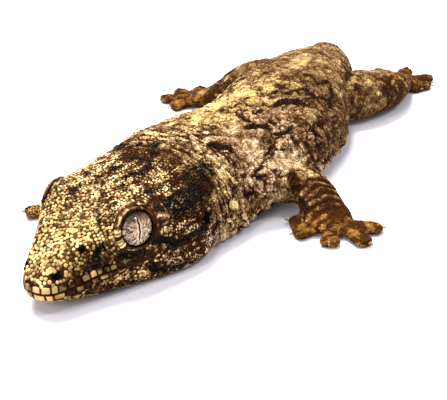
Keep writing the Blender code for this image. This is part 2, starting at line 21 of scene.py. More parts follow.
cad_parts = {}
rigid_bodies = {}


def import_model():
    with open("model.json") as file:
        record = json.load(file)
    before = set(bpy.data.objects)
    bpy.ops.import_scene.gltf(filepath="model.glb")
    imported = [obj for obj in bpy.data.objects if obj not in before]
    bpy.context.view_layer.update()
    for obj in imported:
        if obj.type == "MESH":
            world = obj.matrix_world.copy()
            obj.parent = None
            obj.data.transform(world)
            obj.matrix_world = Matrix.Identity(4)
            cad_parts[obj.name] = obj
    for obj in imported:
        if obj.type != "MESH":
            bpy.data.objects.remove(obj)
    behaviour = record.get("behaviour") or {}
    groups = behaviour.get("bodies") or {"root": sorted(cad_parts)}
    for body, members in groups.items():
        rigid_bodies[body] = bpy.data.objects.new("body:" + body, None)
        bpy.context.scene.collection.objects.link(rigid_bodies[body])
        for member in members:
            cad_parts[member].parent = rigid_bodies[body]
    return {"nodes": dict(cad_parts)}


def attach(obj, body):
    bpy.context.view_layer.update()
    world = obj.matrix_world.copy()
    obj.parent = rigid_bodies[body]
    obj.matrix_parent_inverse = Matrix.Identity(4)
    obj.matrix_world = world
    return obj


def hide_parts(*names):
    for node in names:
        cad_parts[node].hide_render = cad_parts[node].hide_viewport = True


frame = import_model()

LOG = logging.getLogger("gecko")
MM = 0.001
ORIGIN_BACK = 50.0  # How far back from the snout the origin lies.
DENT_EDGE = 0.19  # Width of the bare rim of an opening in the skin, painted dark with it as the shade inside.
SEED = 11
BAKE_MAP = "OFBake"
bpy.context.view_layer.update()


class Part(Enum):
    """The kinds of surface, by the record's material slots."""

    SKIN = "skin"
    EYE = "eye"
    FOOT = "foot_skin"


def place(side: float, back: float, height: float) -> Vector:
    """A point in metres from a place in millimetres on the animal."""
    return Vector((side, back - ORIGIN_BACK, height)) * MM


def paint(red: float, green: float, blue: float) -> tuple[float, float, float, float]:
    """A linear colour from the usual 0 to 255 values.

    Args:
        red: Red, from 0 to 255.
        green: Green, from 0 to 255.
        blue: Blue, from 0 to 255.

    Returns:
        The colour, with 1 for its cover.
    """
    def linear(value: float) -> float:
        """One channel made linear."""
        share = value / 255.0
        return share / 12.92 if share <= 0.04045 else ((share + 0.055) / 1.055) ** 2.4

    return (linear(red), linear(green), linear(blue), 1.0)


def smooth(value: np.ndarray, low: float, high: float) -> np.ndarray:
    """A soft step from 0 at low to 1 at high, either way round."""
    share = np.clip((value - low) / (high - low), 0.0, 1.0)
    return share * share * (3.0 - 2.0 * share)


def lattice(cell: np.ndarray, seed: int) -> np.ndarray:
    """A repeatable value between 0 and 1 for each whole-numbered cell.

    Args:
        cell: Rows of three whole numbers.
        seed: Number that picks the pattern.

    Returns:
        A value for each row.
    """
    mixed = cell[:, 0] * 73856093 ^ cell[:, 1] * 19349663 ^ cell[:, 2] * 83492791 ^ seed * 2654435
    mixed = (mixed ^ (mixed >> 13)) * 1274126177 & 0x7FFFFFFF
    mixed = (mixed ^ (mixed >> 15)) & 0xFFFFF
    return mixed / float(0xFFFFF)


def draws(number: np.ndarray, up: int, on: int, seed: int) -> np.ndarray:
    """A repeatable value between 0 and 1 for each whole number."""
    return lattice(np.stack([number, number * up, number * on], axis=1), seed)


def noise(points: np.ndarray, size: float, seed: int, octaves: int = 2) -> np.ndarray:
    """Soft cloudy noise.

    Args:
        points: Places in millimetres, one row each.
        size: Width of its largest clouds in millimetres.
        seed: Number that picks the pattern.
        octaves: How many finer layers it holds.

    Returns:
        A value from 0 to 1 for each place.
    """
    total = np.zeros(len(points))
    weight = 0.0
    for layer in range(octaves):
        share = 0.5 ** layer
        scaled = points / (size * share) + 100.0 * (layer + 1)
        cell = np.floor(scaled).astype(np.int64)
        part = scaled - cell
        part = part * part * (3.0 - 2.0 * part)
        value = np.zeros(len(points))
        for corner in range(8):
            step = np.array([corner & 1, corner >> 1 & 1, corner >> 2 & 1])
            near = np.prod(np.where(step == 1, part, 1.0 - part), axis=1)
            value += near * lattice(cell + step, seed + layer)
        total += share * value
        weight += share
    return total / weight


def cells(points: np.ndarray, size: float, seed: int) -> tuple[np.ndarray, np.ndarray]:
    """Irregular cells, as of cracked mud.

    Args:
        points: Places in millimetres, one row each.
        size: Usual width of a cell in millimetres.
        seed: Number that picks the pattern.

    Returns:
        How far each place is from the border of its cell, and a value from 0 to 1 for its cell.
    """
    scaled = points / size + 50.0
    cell = np.floor(scaled).astype(np.int64)
    nearest = np.full(len(points), 9.0)
    second = np.full(len(points), 9.0)
    value = np.zeros(len(points))
    for step in np.ndindex(3, 3, 3):
        other = cell + np.array(step) - 1
        middle = other + np.stack([lattice(other, seed + axis) for axis in range(3)], axis=1)
        distance = np.linalg.norm(scaled - middle, axis=1)
        closer = distance < nearest
        second = np.where(closer, nearest, np.minimum(second, distance))
        value = np.where(closer, lattice(other, seed + 7), value)
        nearest = np.where(closer, distance, nearest)
    return second - nearest, value


def mesh_object(name: str, vertices: np.ndarray, faces: list, finish: bpy.types.Material) -> bpy.types.Object:
    """A smooth-shaded mesh object at the origin.

    Args:
        name: Name of the piece.
        vertices: Places in metres.
        faces: Rows of vertex numbers.
        finish: Its material.

    Returns:
        The object, linked to the scene.
    """
    mesh = bpy.data.meshes.new(name)
    mesh.from_pydata([tuple(v) for v in vertices], [], faces)
    mesh.materials.append(finish)
    mesh.shade_smooth()
    mesh.update()
    made = bpy.data.objects.new(name, mesh)
    bpy.context.scene.collection.objects.link(made)
    return made


def settle(made: bpy.types.Object) -> bpy.types.Mesh:
    """Give an object the mesh that its modifiers make, and drop them.

    Args:
        made: The object.

    Returns:
        Its new mesh.
    """
    bpy.context.view_layer.update()
    graph = bpy.context.evaluated_depsgraph_get()
    mesh = bpy.data.meshes.new_from_object(made.evaluated_get(graph), depsgraph=graph)
    made.modifiers.clear()
    old = made.data
    made.data = mesh
    if not old.users:
        bpy.data.meshes.remove(old)
    return mesh


def face_outward(mesh: bpy.types.Mesh) -> None:
    """Turn every face of a closed mesh outward.

    Args:
        mesh: The mesh.
    """
    work = bmesh.new()
    work.from_mesh(mesh)
    bmesh.ops.recalc_face_normals(work, faces=work.faces)
    work.to_mesh(mesh)
    work.free()


def bands(first: int, rings: int, sides: int) -> list[tuple[int, ...]]:
    """Faces between rings of vertices that follow one another.

    Args:
        first: Number of the first vertex.
        rings: How many rings there are.
        sides: Vertices in each.

    Returns:
        Rows of four vertex numbers.
    """
    faces = []
    for start in range(first, first + (rings - 1) * sides, sides):
        for turn in range(sides):
            after = (turn + 1) % sides
            faces.append((start + turn, start + after, start + sides + after, start + sides + turn))
    return faces


def fan(first: int, sides: int, top: int) -> list[tuple[int, ...]]:
    """Faces between one ring of vertices and a point."""
    return [(first + turn, first + (turn + 1) % sides, top) for turn in range(sides)]


def coordinates(mesh: bpy.types.Mesh) -> np.ndarray:
    """The vertices of a mesh as rows.

    Args:
        mesh: The mesh.

    Returns:
        A row in metres for each vertex.
    """
    rows = np.empty(len(mesh.vertices) * 3)
    mesh.vertices.foreach_get("co", rows)
    return rows.reshape(-1, 3)


def normals(mesh: bpy.types.Mesh) -> np.ndarray:
    """The vertex normals of a mesh as rows.

    Args:
        mesh: The mesh.

    Returns:
        A row of unit length for each vertex.
    """
    rows = np.empty(len(mesh.vertices) * 3)
    mesh.vertex_normals.foreach_get("vector", rows)
    return rows.reshape(-1, 3)


def move_to(mesh: bpy.types.Mesh, rows: np.ndarray) -> None:
    """Put the vertices of a mesh at the given rows."""
    mesh.vertices.foreach_set("co", rows.astype(np.float32).ravel())
    mesh.update()


def set_values(mesh: bpy.types.Mesh, named: dict[str, np.ndarray]) -> None:
    """Store one number for each vertex under each name."""
    for name, values in named.items():
        mesh.attributes.new(name, "FLOAT", "POINT").data.foreach_set("value", values.astype(np.float32))


def set_vectors(mesh: bpy.types.Mesh, name: str, rows: object) -> None:
    """Store one vector for each vertex under a name."""
    layer = mesh.attributes.new(name, "FLOAT_VECTOR", "POINT")
    layer.data.foreach_set("vector", np.array(rows, np.float32).ravel())


def on_animal(rows: np.ndarray) -> np.ndarray:
    """Places in millimetres, with back from the snout, for rows in metres."""
    return rows / MM + np.array([0.0, ORIGIN_BACK, 0.0])


def row_at(back: float) -> float:
    """A distance back from the snout as a place along the animal in metres."""
    return (back - ORIGIN_BACK) * MM


@dataclass(frozen=True)
class Blotch:
    """A soft-edged mark on the skin."""

    name: str
    side: float
    back: float
    height: float
    radius: float
    strength: float = 1.0

    def apart(self, spots: np.ndarray) -> np.ndarray:
        """How far each place is from its middle."""
        return np.linalg.norm(spots - np.array([self.side, self.back, self.height]), axis=1)


@dataclass(frozen=True)
class Trail:
    """A mark drawn through a row of places on the skin."""

    name: str
    path: tuple[tuple[float, float, float], ...]
    radius: float
    strength: float = 1.0

    def apart(self, spots: np.ndarray) -> np.ndarray:
        """How far each place is from its path.

        Args:
            spots: Places in millimetres.

        Returns:
            A distance in millimetres for each.
        """
        distance = np.full(len(spots), 99.0)
        for first, last in zip(self.path, self.path[1:]):
            start = np.array(first)
            along = np.array(last) - start
            share = np.clip((spots - start) @ along / (along @ along), 0.0, 1.0)
            distance = np.minimum(distance, np.linalg.norm(spots - start - share[:, None] * along, axis=1))
        return distance


@dataclass
class Markings:
    """Where the skin is dark, black, warm or ochre; the skin and its scales share it."""

    head_darks: tuple[Trail, ...] = (
        Trail("right_brow_dark", ((-4.2, 13.6, 10.0), (-3.6, 14.3, 10.2)), 0.45, 0.70),
        Trail("snout_dash", ((-2.6, 10.3, 9.4), (-2.7, 11.6, 9.8), (-2.8, 12.1, 9.9)), 0.34, 0.85),
        Trail("top_streak", ((-4.8, 16.0, 10.1), (-2.9, 17.6, 10.6)), 0.30, 0.80),
        Trail("top_spot", ((-1.7, 16.2, 10.6), (-0.9, 16.8, 10.7)), 0.36, 0.80),
        Trail("far_streak", ((-3.4, 20.8, 10.7), (-2.7, 22.8, 10.9)), 0.45, 0.80),
        Trail("far_black", ((-0.8, 23.2, 11.1), (0.2, 23.7, 11.1)), 0.45, 0.95),
        Trail("far_streak_low", ((-1.4, 21.4, 10.9), (0.6, 21.5, 11.0)), 0.36, 0.85),
        Trail("middle_streak", ((-0.9, 19.3, 10.8), (1.8, 19.7, 10.8), (2.4, 20.5, 10.8)), 0.38, 0.85),
        Trail("near_streak", ((1.3, 15.5, 10.5), (1.5, 16.1, 10.6), (2.5, 17.4, 10.7), (2.1, 19.1, 10.8)),
              0.42, 0.90),
        Trail("black_dot", ((1.7, 14.2, 10.3), (1.9, 14.1, 10.3)), 0.34, 1.00),
        Trail("brow_line", ((1.5, 11.8, 9.8), (2.0, 12.7, 10.0), (2.8, 13.4, 10.2), (3.4, 13.8, 10.2)),
              0.20, 0.80),
        Trail("brow_dot_front", ((2.9, 10.7, 9.5), (3.1, 10.7, 9.5)), 0.24, 0.80),
        Trail("brow_dot", ((3.3, 11.0, 9.6), (3.4, 10.9, 9.6)), 0.24, 0.80),
        Trail("canthus_dark", ((1.8, 9.7, 9.0), (3.3, 8.4, 8.6), (3.2, 8.0, 8.4)), 0.32, 0.80),
        Trail("snout_smudge", ((-1.3, 7.1, 8.1), (-0.4, 7.4, 8.1)), 0.34, 0.70),
        Trail("temple_dash", ((4.7, 14.3, 10.0), (5.0, 15.3, 10.0), (5.5, 16.5, 9.9)), 0.36, 0.85),
        Trail("behind_eye_high", ((7.1, 14.1, 8.7), (7.3, 15.1, 8.6)), 0.55, 0.95),
        Trail("cheek_black", ((7.6, 16.2, 8.5), (7.9, 17.9, 8.3), (7.8, 20.2, 8.3)), 1.30, 1.00),
        Trail("temple_black", ((6.6, 20.6, 9.4), (6.4, 22.9, 9.5), (6.3, 24.3, 9.7)), 1.10, 0.62),
        Trail("behind_eye_low", ((7.8, 12.4, 5.7), (8.3, 13.8, 5.2), (8.8, 14.5, 4.3)), 0.55, 0.95),
        Trail("lore_band", ((4.7, 6.3, 5.9), (4.6, 6.0, 5.1), (4.4, 5.2, 4.5)), 0.55, 0.85),
        Trail("under_eye", ((6.0, 8.6, 5.0), (6.6, 9.7, 4.7), (7.2, 10.8, 4.8)), 0.50, 0.90),
        Trail("jaw_band", ((7.5, 11.5, 2.4), (8.3, 13.2, 1.6), (8.9, 14.7, 1.9)), 0.60, 0.85),
        Trail("cheek_line", ((8.9, 14.9, 4.4), (9.5, 16.8, 4.7), (9.6, 19.1, 4.9)), 0.42, 0.80),
        Trail("snout_front_spots", ((-0.7, 3.7, 6.6), (-0.2, 3.5, 6.5)), 0.28, 0.70),
        Trail("lip_dark", ((5.1, 6.5, 4.3), (5.6, 7.3, 4.0)), 0.40, 0.80),
        Trail("right_ear_black", ((-7.6, 17.2, 8.5), (-8.2, 19.4, 7.9)), 1.30, 0.95),
        Trail("right_nape_black", ((-5.6, 21.6, 9.8), (-6.4, 23.4, 9.3)), 1.10, 0.85),
        Trail("right_cheek_black", ((-7.2, 14.2, 8.4), (-7.7, 15.2, 7.4)), 0.60, 0.90),
        Trail("right_behind_eye", ((-7.8, 12.6, 5.6), (-8.6, 14.5, 4.5)), 0.50, 0.90),
        Trail("right_lore", ((-3.8, 6.6, 6.2), (-3.7, 5.6, 4.9)), 0.50, 0.80),
        Trail("right_under_eye", ((-5.4, 8.8, 5.0), (-6.6, 10.8, 4.8)), 0.45, 0.85),
        Trail("right_jaw_band", ((-7.2, 11.6, 2.4), (-8.6, 14.8, 1.9)), 0.60, 0.85),
        Trail("right_cheek_line", ((-8.6, 15.2, 4.6), (-9.2, 19.0, 4.9)), 0.42, 0.80),
    )
    body_darks: tuple[Trail, ...] = (
        Trail("shoulder_spot", ((2.8, 37.1, 11.0), (4.2, 36.2, 10.8)), 0.45, 0.85),
        Trail("shoulder_line", ((5.2, 35.0, 10.5), (5.9, 36.7, 10.2), (6.7, 38.0, 9.8)), 0.46, 0.90),
        Trail("spine_dash", ((3.7, 38.7, 10.8), (4.0, 40.6, 10.7)), 0.30, 0.90),
        Trail("back_smear", ((4.5, 43.4, 10.7), (4.8, 45.6, 10.5), (6.2, 46.9, 10.2)), 0.62, 0.85),
        Trail("loop_floor", ((3.6, 47.0, 11.0), (4.9, 51.0, 10.6), (6.6, 50.4, 9.8), (7.7, 52.9, 8.7)),
              0.34, 0.80),
        Trail("loop_wall", ((2.4, 54.5, 11.2), (3.1, 55.2, 11.0), (5.1, 54.1, 10.4), (5.1, 57.2, 9.9),
                (6.9, 55.1, 9.0), (8.2, 51.9, 8.3)), 0.40, 0.80),
        Trail("spine_dash_rear", ((1.9, 45.5, 11.1), (2.1, 47.1, 11.1)), 0.36, 0.85),
        Trail("flank_dash", ((7.7, 37.9, 9.1), (8.3, 40.4, 8.8), (8.1, 41.3, 8.9)), 0.30, 0.85),
        Trail("flank_spot", ((9.3, 40.0, 7.7), (9.3, 40.1, 7.7)), 0.50, 0.80),
        Trail("flank_spot_rear", ((10.0, 42.1, 6.6), (10.1, 42.2, 6.5)), 0.40, 0.70),
        Trail("flank_spot_high", ((9.6, 45.0, 7.4), (9.8, 45.2, 7.0)), 0.45, 0.70),
        # Painted shade in the creases over the shoulder and arm.
        Trail("crease", ((9.6, 29.4, 7.1), (9.7, 31.2, 7.8), (9.1, 35.2, 7.8)), 0.20, 0.95),
        Trail("crease_upper", ((8.7, 33.8, 8.1), (8.6, 36.0, 8.3)), 0.20, 0.80),
        Trail("crease_rear", ((8.9, 35.7, 8.0), (9.7, 38.9, 7.0)), 0.20, 0.60),
        Trail("crease_foot", ((10.0, 29.7, 6.9), (10.9, 30.9, 7.0)), 0.28, 0.85),
        Trail("upper_arm_spot", ((11.3, 32.0, 7.1), (11.4, 32.1, 7.0)), 0.34, 0.80),
        Trail("nape_black", ((4.7, 27.5, 10.7), (5.4, 28.3, 10.5), (6.5, 29.1, 10.0)), 0.62, 0.95),
        Trail("nape_line", ((6.7, 27.7, 9.8), (7.8, 27.0, 8.8)), 0.26, 0.80),
        Trail("nape_thin", ((1.1, 26.7, 11.2), (3.2, 29.0, 11.1), (4.4, 30.5, 10.9)), 0.22, 0.80),
        Trail("collar_shadow", ((9.4, 22.0, 3.7), (9.5, 20.9, 3.3)), 0.50, 0.80),
        # Painted shade in a small hole of the collar fold.
        Trail("collar_hole", ((9.1, 22.9, 5.8), (9.1, 23.0, 5.6)), 0.26, 0.95),
        Trail("collar_dot", ((9.2, 25.2, 6.3), (9.3, 25.3, 6.0)), 0.24, 0.80),
        Trail("shoulder_dash", ((7.5, 35.7, 9.3), (7.7, 35.0, 9.1)), 0.24, 0.80),
        Trail("shoulder_spot_rear", ((6.0, 39.3, 10.1), (6.6, 39.2, 9.8)), 0.34, 0.80),
        Trail("hip_curl", ((1.8, 69.6, 7.5), (4.2, 66.2, 7.9), (4.2, 65.0, 7.7)), 0.50, 0.70),
        Trail("leg_spot", ((6.0, 65.1, 6.7), (6.2, 65.2, 6.5)), 0.60, 0.70),
        Trail("chest_dash", ((9.7, 27.1, 5.5), (9.9, 28.5, 5.0)), 0.32, 0.80),
        Trail("chest_spot", ((9.3, 25.0, 6.0), (9.3, 25.3, 6.0)), 0.36, 0.70),
        Trail("arm_shadow", ((14.4, 33.4, 3.3), (15.7, 32.1, 2.7)), 0.45, 0.80),
        Trail("forearm_edge", ((15.2, 36.7, 5.1), (16.0, 37.9, 4.3)), 0.50, 0.60),
        Trail("right_shoulder_line", ((-4.0, 35.4, 10.6), (-6.4, 37.0, 9.8)), 0.34, 0.80),
        Trail("right_smear", ((-4.6, 42.0, 10.6), (-5.8, 46.8, 10.1)), 0.55, 0.80),
        Trail("right_loop", ((-5.0, 50.2, 10.7), (-7.2, 51.4, 9.6), (-7.4, 55.0, 9.2), (-5.6, 57.2, 10.1)),
              0.38, 0.80),
        Trail("right_flank_dash", ((-8.6, 40.6, 8.8), (-9.2, 44.0, 8.0)), 0.32, 0.80),
        Trail("right_flank_spot", ((-9.4, 48.6, 7.0), (-9.5, 49.4, 6.8)), 0.45, 0.75),
        Trail("right_hip", ((-7.6, 60.4, 8.6), (-7.0, 63.8, 8.2)), 0.50, 0.70),
        Trail("tail_bar", ((-7.6, 78.4, 5.6), (-11.0, 80.6, 4.6)), 0.55, 0.75),
        Trail("tail_bar_rear", ((-11.4, 84.6, 4.4), (-14.4, 85.4, 3.6)), 0.50, 0.75),
    )
    creams: tuple[Trail, ...] = (
        Trail("brow_crescent", ((1.9, 10.8, 9.4), (1.9, 11.9, 9.8), (2.5, 12.7, 10.0), (3.6, 13.2, 10.1)),
              0.26, 0.80),
        Trail("head_crease", ((-3.6, 15.5, 10.3), (-2.7, 19.1, 10.7)), 0.18, 0.60),
        Trail("jaw_cream", ((5.9, 7.8, 2.6), (6.3, 8.6, 2.8)), 0.55, 0.80),
        Trail("jaw_cream_middle", ((6.8, 10.1, 2.0), (7.2, 10.9, 2.2)), 0.55, 0.80),
        Trail("jaw_cream_rear", ((7.9, 12.2, 3.6), (8.2, 12.9, 3.4)), 0.50, 0.70),
        Trail("cheek_cream", ((8.0, 13.4, 6.4), (8.4, 14.2, 6.2)), 0.50, 0.70),
        Trail("jaw_cream_last", ((9.0, 15.0, 2.2), (9.4, 16.0, 2.5)), 0.60, 0.70),
        Trail("collar_fold", ((9.6, 24.2, 4.2), (9.6, 23.8, 3.2), (9.4, 23.0, 1.5)), 0.30, 0.90),
        Trail("shoulder_ridge", ((9.9, 33.6, 7.7), (9.5, 36.9, 7.2), (10.3, 39.3, 5.8)), 0.26, 0.70),
        Trail("back_pale", ((0.6, 49.6, 11.3), (1.8, 50.4, 11.3), (3.7, 50.6, 11.0)), 0.60, 0.60),
        Trail("spine_pale", ((-0.8, 32.8, 11.3), (-3.4, 43.6, 10.4), (1.4, 44.6, 11.1)), 1.20, 0.60),
        Trail("right_brow", ((-3.2, 8.6, 9.3), (-4.2, 10.4, 9.8)), 0.60, 0.70),
        Trail("spine_pale_rear", ((-0.4, 57.0, 11.2), (-1.4, 62.0, 10.4)), 1.30, 0.60),
    )
    dents: tuple[Blotch, ...] = (
        Blotch("nostril_left", 2.85, 1.75, 4.95, 0.42),
        Blotch("nostril_right", -1.60, 1.75, 4.95, 0.42),
        Blotch("pit_front", 3.5, 5.2, 6.7, 0.36),
        Blotch("pit_rear", 4.8, 6.9, 6.6, 0.48),
        Blotch("ear_left", 9.0, 20.0, 5.4, 0.75),
        Blotch("ear_right", -9.0, 20.0, 5.4, 0.75),
    )
    areas: tuple[Blotch, ...] = (
        Blotch("snout_top", 0.6, 3.0, 7.5, 4.0, -0.03),
        Blotch("nose_tip", 1.6, 1.2, 5.0, 2.6, 0.18),
        Blotch("snout_side", 4.6, 5.0, 4.6, 2.6, 0.22),
        Blotch("snout_side_right", -3.4, 5.0, 4.6, 2.6, 0.22),
        Blotch("head_front", 0.0, 10.5, 9.5, 4.0, 0.15),
        Blotch("head_middle", 2.0, 15.0, 10.4, 3.4, -0.18),
        Blotch("head_rear", 1.0, 20.0, 10.5, 4.0, 0.42),
        Blotch("cheek", 8.3, 15.5, 5.5, 3.2, 0.16),
        Blotch("cheek_right", -8.0, 15.5, 5.5, 3.2, 0.16),
        Blotch("upper_lip", 6.4, 8.4, 4.2, 3.2, 0.24),
        Blotch("jaw_rear", 8.0, 14.5, 2.5, 3.0, 0.24),
        Blotch("jaw_front", 5.6, 7.8, 2.4, 3.6, 0.32),
        Blotch("jaw_right", -6.0, 10.5, 2.2, 4.6, 0.20),
        Blotch("collar", 9.0, 23.5, 6.0, 3.5, 0.06),
        Blotch("shoulder", 9.8, 31.0, 7.0, 4.0, -0.11),
        Blotch("elbow_pale", 12.6, 35.4, 6.2, 2.2, -0.12),
        Blotch("forearm", 16.0, 34.8, 4.0, 2.8, 0.17),
        Blotch("wrist", 18.2, 34.0, 2.6, 1.6, 0.44),
        Blotch("back_middle", 4.5, 42.0, 10.0, 4.5, -0.02),
        Blotch("back_rear_pale", 2.0, 60.5, 9.5, 4.5, -0.02),
        Blotch("flank", 8.5, 49.0, 6.0, 6.0, 0.12),
        Blotch("chest_low", 9.6, 27.0, 4.4, 3.0, 0.04),
        Blotch("far_foot", -20.0, 59.0, 2.0, 8.0, 0.08),
        Blotch("flank_front", 9.6, 39.0, 7.5, 3.6, -0.10),
        Blotch("hip", 5.5, 62.0, 6.5, 3.5, 0.02),
        Blotch("hind_leg", 8.0, 69.0, 4.5, 5.0, 0.02),
        Blotch("hind_foot", 5.0, 86.0, 2.5, 7.0, 0.12),
    )

    @staticmethod
    def _marks(spots: np.ndarray, marks: tuple) -> np.ndarray:
        """The strongest of a row of marks at each place.

        Args:
            spots: Places in millimetres, already moved a little by noise.
            marks: Blotches or trails.

        Returns:
            Strength from 0 to 1 for each place.
        """
        best = np.zeros(len(spots))
        for mark in marks:
            edge = smooth(mark.apart(spots), mark.radius * 1.3, mark.radius * 0.75)
            best = np.maximum(best, mark.strength * edge)
        return best

    def values(self, spots: np.ndarray) -> dict[str, np.ndarray]:
        """The named masks of the skin's pattern.

        Args:
            spots: Places in millimetres, back from the snout.

        Returns:
            Arrays named shade, black, warm and ochre, each from 0 to 1, and rise in millimetres.
        """
        shift = np.stack([noise(spots, 1.1, SEED + axis, 3) for axis in range(3)], axis=1) - 0.5
        warped = spots + 1.4 * shift
        nudged = spots + 0.75 * shift
        side, back, height = spots.T
        # Where the parts of the animal are, each from 0 to 1.
        head = smooth(back + 7.0 * (noise(spots, 3.4, SEED + 90, 3) - 0.5), 23.8, 21.6)
        body = 1.0 - head
        limb = smooth(np.abs(side - self._middle(back)), 10.6, 12.6)
        trunk = 1.0 - limb
        toes = limb * smooth(height, 3.6, 2.2)
        soles_off = 1.0 - toes
        collar = smooth(back, 20.8, 22.8) * smooth(back, 31.0, 26.5) * trunk
        rear_head = smooth(back, 7.0, 16.0) * head
        snout = smooth(back, 10.5, 6.5)
        cream = smooth(back, 27.0, 33.0) * smooth(back, 57.0, 46.0)
        cream = cream * smooth(side, 6.0, 1.0) * smooth(height, 6.5, 9.5)
        wrist_area = smooth(side, 14.2, 15.6) * smooth(side, 19.6, 18.4) * smooth(height, 1.0, 1.6)
        # Noise, cells and folds.
        streaks = noise(warped * np.array([1.0, 0.30, 1.0]), 0.85, SEED + 5, 2)
        clouds = noise(warped, 3.2, SEED + 6, 3) - 0.5
        mottles = noise(warped, 1.3, SEED + 7, 2)
        specks = noise(spots, 0.5, SEED + 8, 1)
        border, patch = cells(warped * np.array([1.0, 0.8, 0.8]), 1.15, SEED + 40)
        crack = smooth(border, 0.26, 0.03)
        small_border, small_patch = cells(warped, 0.62, SEED + 50)
        uneven = 1.5 * (noise(spots, 2.4, SEED + 60, 2) - 0.5)
        fold = self._ridges(back + uneven + 0.10 * (height - 6.0), 1.25)
        wrist = self._ridges(side * 0.86 - back * 0.5 + 0.5 * (mottles - 0.5), 0.92)
        thin = noise(warped * np.array([1.0, 0.65, 1.0]), 1.5, SEED + 80, 2)
        wrinkle = (1.0 - 2.0 * np.abs(thin - 0.5)) ** 6
        # Pale or dark.
        shade = 0.51 - 0.16 * head + (0.34 + 0.20 * head) * clouds + (0.28 + 0.06 * head) * (mottles - 0.5)
        shade += (0.22 + 0.10 * head) * (specks - 0.5)
        shade += 0.20 * head
        for area in self.areas:
            offset = (spots - np.array([area.side, area.back, area.height])) / area.radius
            shade += area.strength * np.exp(-np.sum(offset * offset, axis=1))
        shade += rear_head * (0.06 + 1.0 * (streaks - 0.5))
        shade -= 0.12 * snout
        shade += 0.24 * body * (patch - 0.5) * soles_off + 0.16 * body * (small_patch - 0.5)
        # Painted shade: the cracks between the cells, which also sink, are darkened.
        shade += body * 0.20 * crack * (1.0 - 0.5 * collar) * (1.0 - 0.4 * cream)
        # Painted light and shade on the collar folds: darker in their grooves and paler on their crests.
        shade += collar * 0.40 * (0.50 - fold)
        shade += wrist_area * (0.18 + 0.78 * (0.5 - wrist))
        shade += (0.80 - 0.4 * wrist_area) * limb * (noise(warped, 0.9, SEED + 95, 2) - 0.5)
        shade -= 0.06 * cream
        shade -= 0.20 * body * wrinkle * soles_off
        shade += 0.18 * limb
        calm = smooth(back, 42.0, 56.0) * (1.0 - 0.7 * limb)
        shade += calm * (0.12 - 0.40 * (shade - 0.5))
        # The single marks.
        head_dark = np.minimum(1.0, 1.2 * self._marks(nudged, self.head_darks))
        head_dark = head_dark * (0.72 + 0.28 * smooth(specks, 0.66, 0.46))
        body_dark = self._marks(nudged, self.body_darks) * (0.82 + 0.18 * smooth(mottles, 0.62, 0.45))
        # The openings in the skin are painted black: painted shade inside them.
        black = np.maximum(np.maximum(head_dark, self._marks(spots, self.dents)), 0.75 * body_dark)
        shade = shade * (1.0 - body_dark) + np.maximum(shade, 0.93) * body_dark
        cream_marks = self._marks(nudged, self.creams)
        shade = shade * (1.0 - 0.8 * cream_marks) + 0.8 * (0.26 + 0.3 * (specks - 0.5)) * cream_marks
        # Warm or grey, and ochre.
        warm = 0.5 + 0.7 * (noise(spots, 3.5, SEED + 9, 2) - 0.5) + 0.6 * snout + 0.05 * head
        warm = warm + 0.5 * cream + 0.4 * cream_marks
        warm -= 0.45 * smooth(back, 25.0, 29.0) * smooth(back, 50.0, 38.0) * (1.0 - cream) * trunk
        warm -= 0.55 * head * smooth(back, 11.5, 14.5) * smooth(height, 10.2, 8.6)
        ochre = np.maximum(toes, 0.7 * limb * smooth(back, 60.0, 75.0))
        ochre = np.maximum(ochre, 0.36 * smooth(side, 13.5, 16.0))
        # How far the skin stands out.
        rise = body * (0.11 * smooth(border, 0.0, 0.5) - 0.08 * crack) * (1.0 - 0.75 * toes)
        rise += body * 0.05 * (smooth(small_border, 0.0, 0.5) - 0.5)
        rise += collar * 0.48 * (fold - 0.5)
        rise += wrist_area * 0.20 * (wrist - 0.5)
        rise += 0.18 * body * wrinkle * soles_off
        rise += rear_head * 0.16 * (0.5 - streaks)
        rise += 0.05 * head * (mottles - 0.5)
        skirt = np.exp(-((height - 1.9) / 0.75) ** 2) * smooth(back, 16.0, 19.0)
        skirt = skirt * smooth(back, 62.0, 56.0) * trunk
        ragged = smooth(noise(spots * np.array([0.4, 1.0, 0.5]), 1.0, SEED + 70, 2), 0.42, 0.72)
        rise += skirt * 0.55 * ragged
        shade -= skirt * 0.30 * ragged
        rise -= 0.14 * body_dark
        rise += 0.10 * cream_marks * head
        masks = {"shade": shade, "black": black, "warm": warm, "ochre": ochre}
        return {name: np.clip(mask, 0.0, 1.0) for name, mask in masks.items()} | {"rise": rise}

    @staticmethod
    def _ridges(run: np.ndarray, pitch: float) -> np.ndarray:
        """Round ridges that follow each other, 1 on a crest and 0 in a groove."""
        return np.abs(np.cos(math.pi * run / pitch)) ** 0.8

    @staticmethod
    def _middle(back: np.ndarray) -> np.ndarray:
        """Sideways place of the spine at each distance back."""
        stops = [0.0, 14.0, 34.0, 40.0, 54.0, 65.0, 74.0, 82.0]
        return np.interp(back, stops, [0.8, 0.0, 0.6, 1.2, -0.5, -2.8, -4.4, -8.9])


@dataclass(frozen=True)
class Signal:
    """One output in a node tree; reckoning with it adds the nodes that do the sum."""

    socket: bpy.types.NodeSocket

    def sum(self, operation: str, first: object, second: object = 0.0) -> "Signal":
        """The output of a new maths node in the same tree."""
        return Weave(self.socket.id_data).maths(operation, first, second)

    def __add__(self, other: object) -> "Signal":
        """This and the other together."""
        return self.sum("ADD", self, other)

    def __sub__(self, other: object) -> "Signal":
        """This less the other."""
        return self.sum("SUBTRACT", self, other)

    def __rsub__(self, other: object) -> "Signal":
        """The other less this."""
        return self.sum("SUBTRACT", other, self)

    def __mul__(self, other: object) -> "Signal":
        """This times the other."""
        return self.sum("MULTIPLY", self, other)

    def __abs__(self) -> "Signal":
        """This without its sign."""
        return self.sum("ABSOLUTE", self)


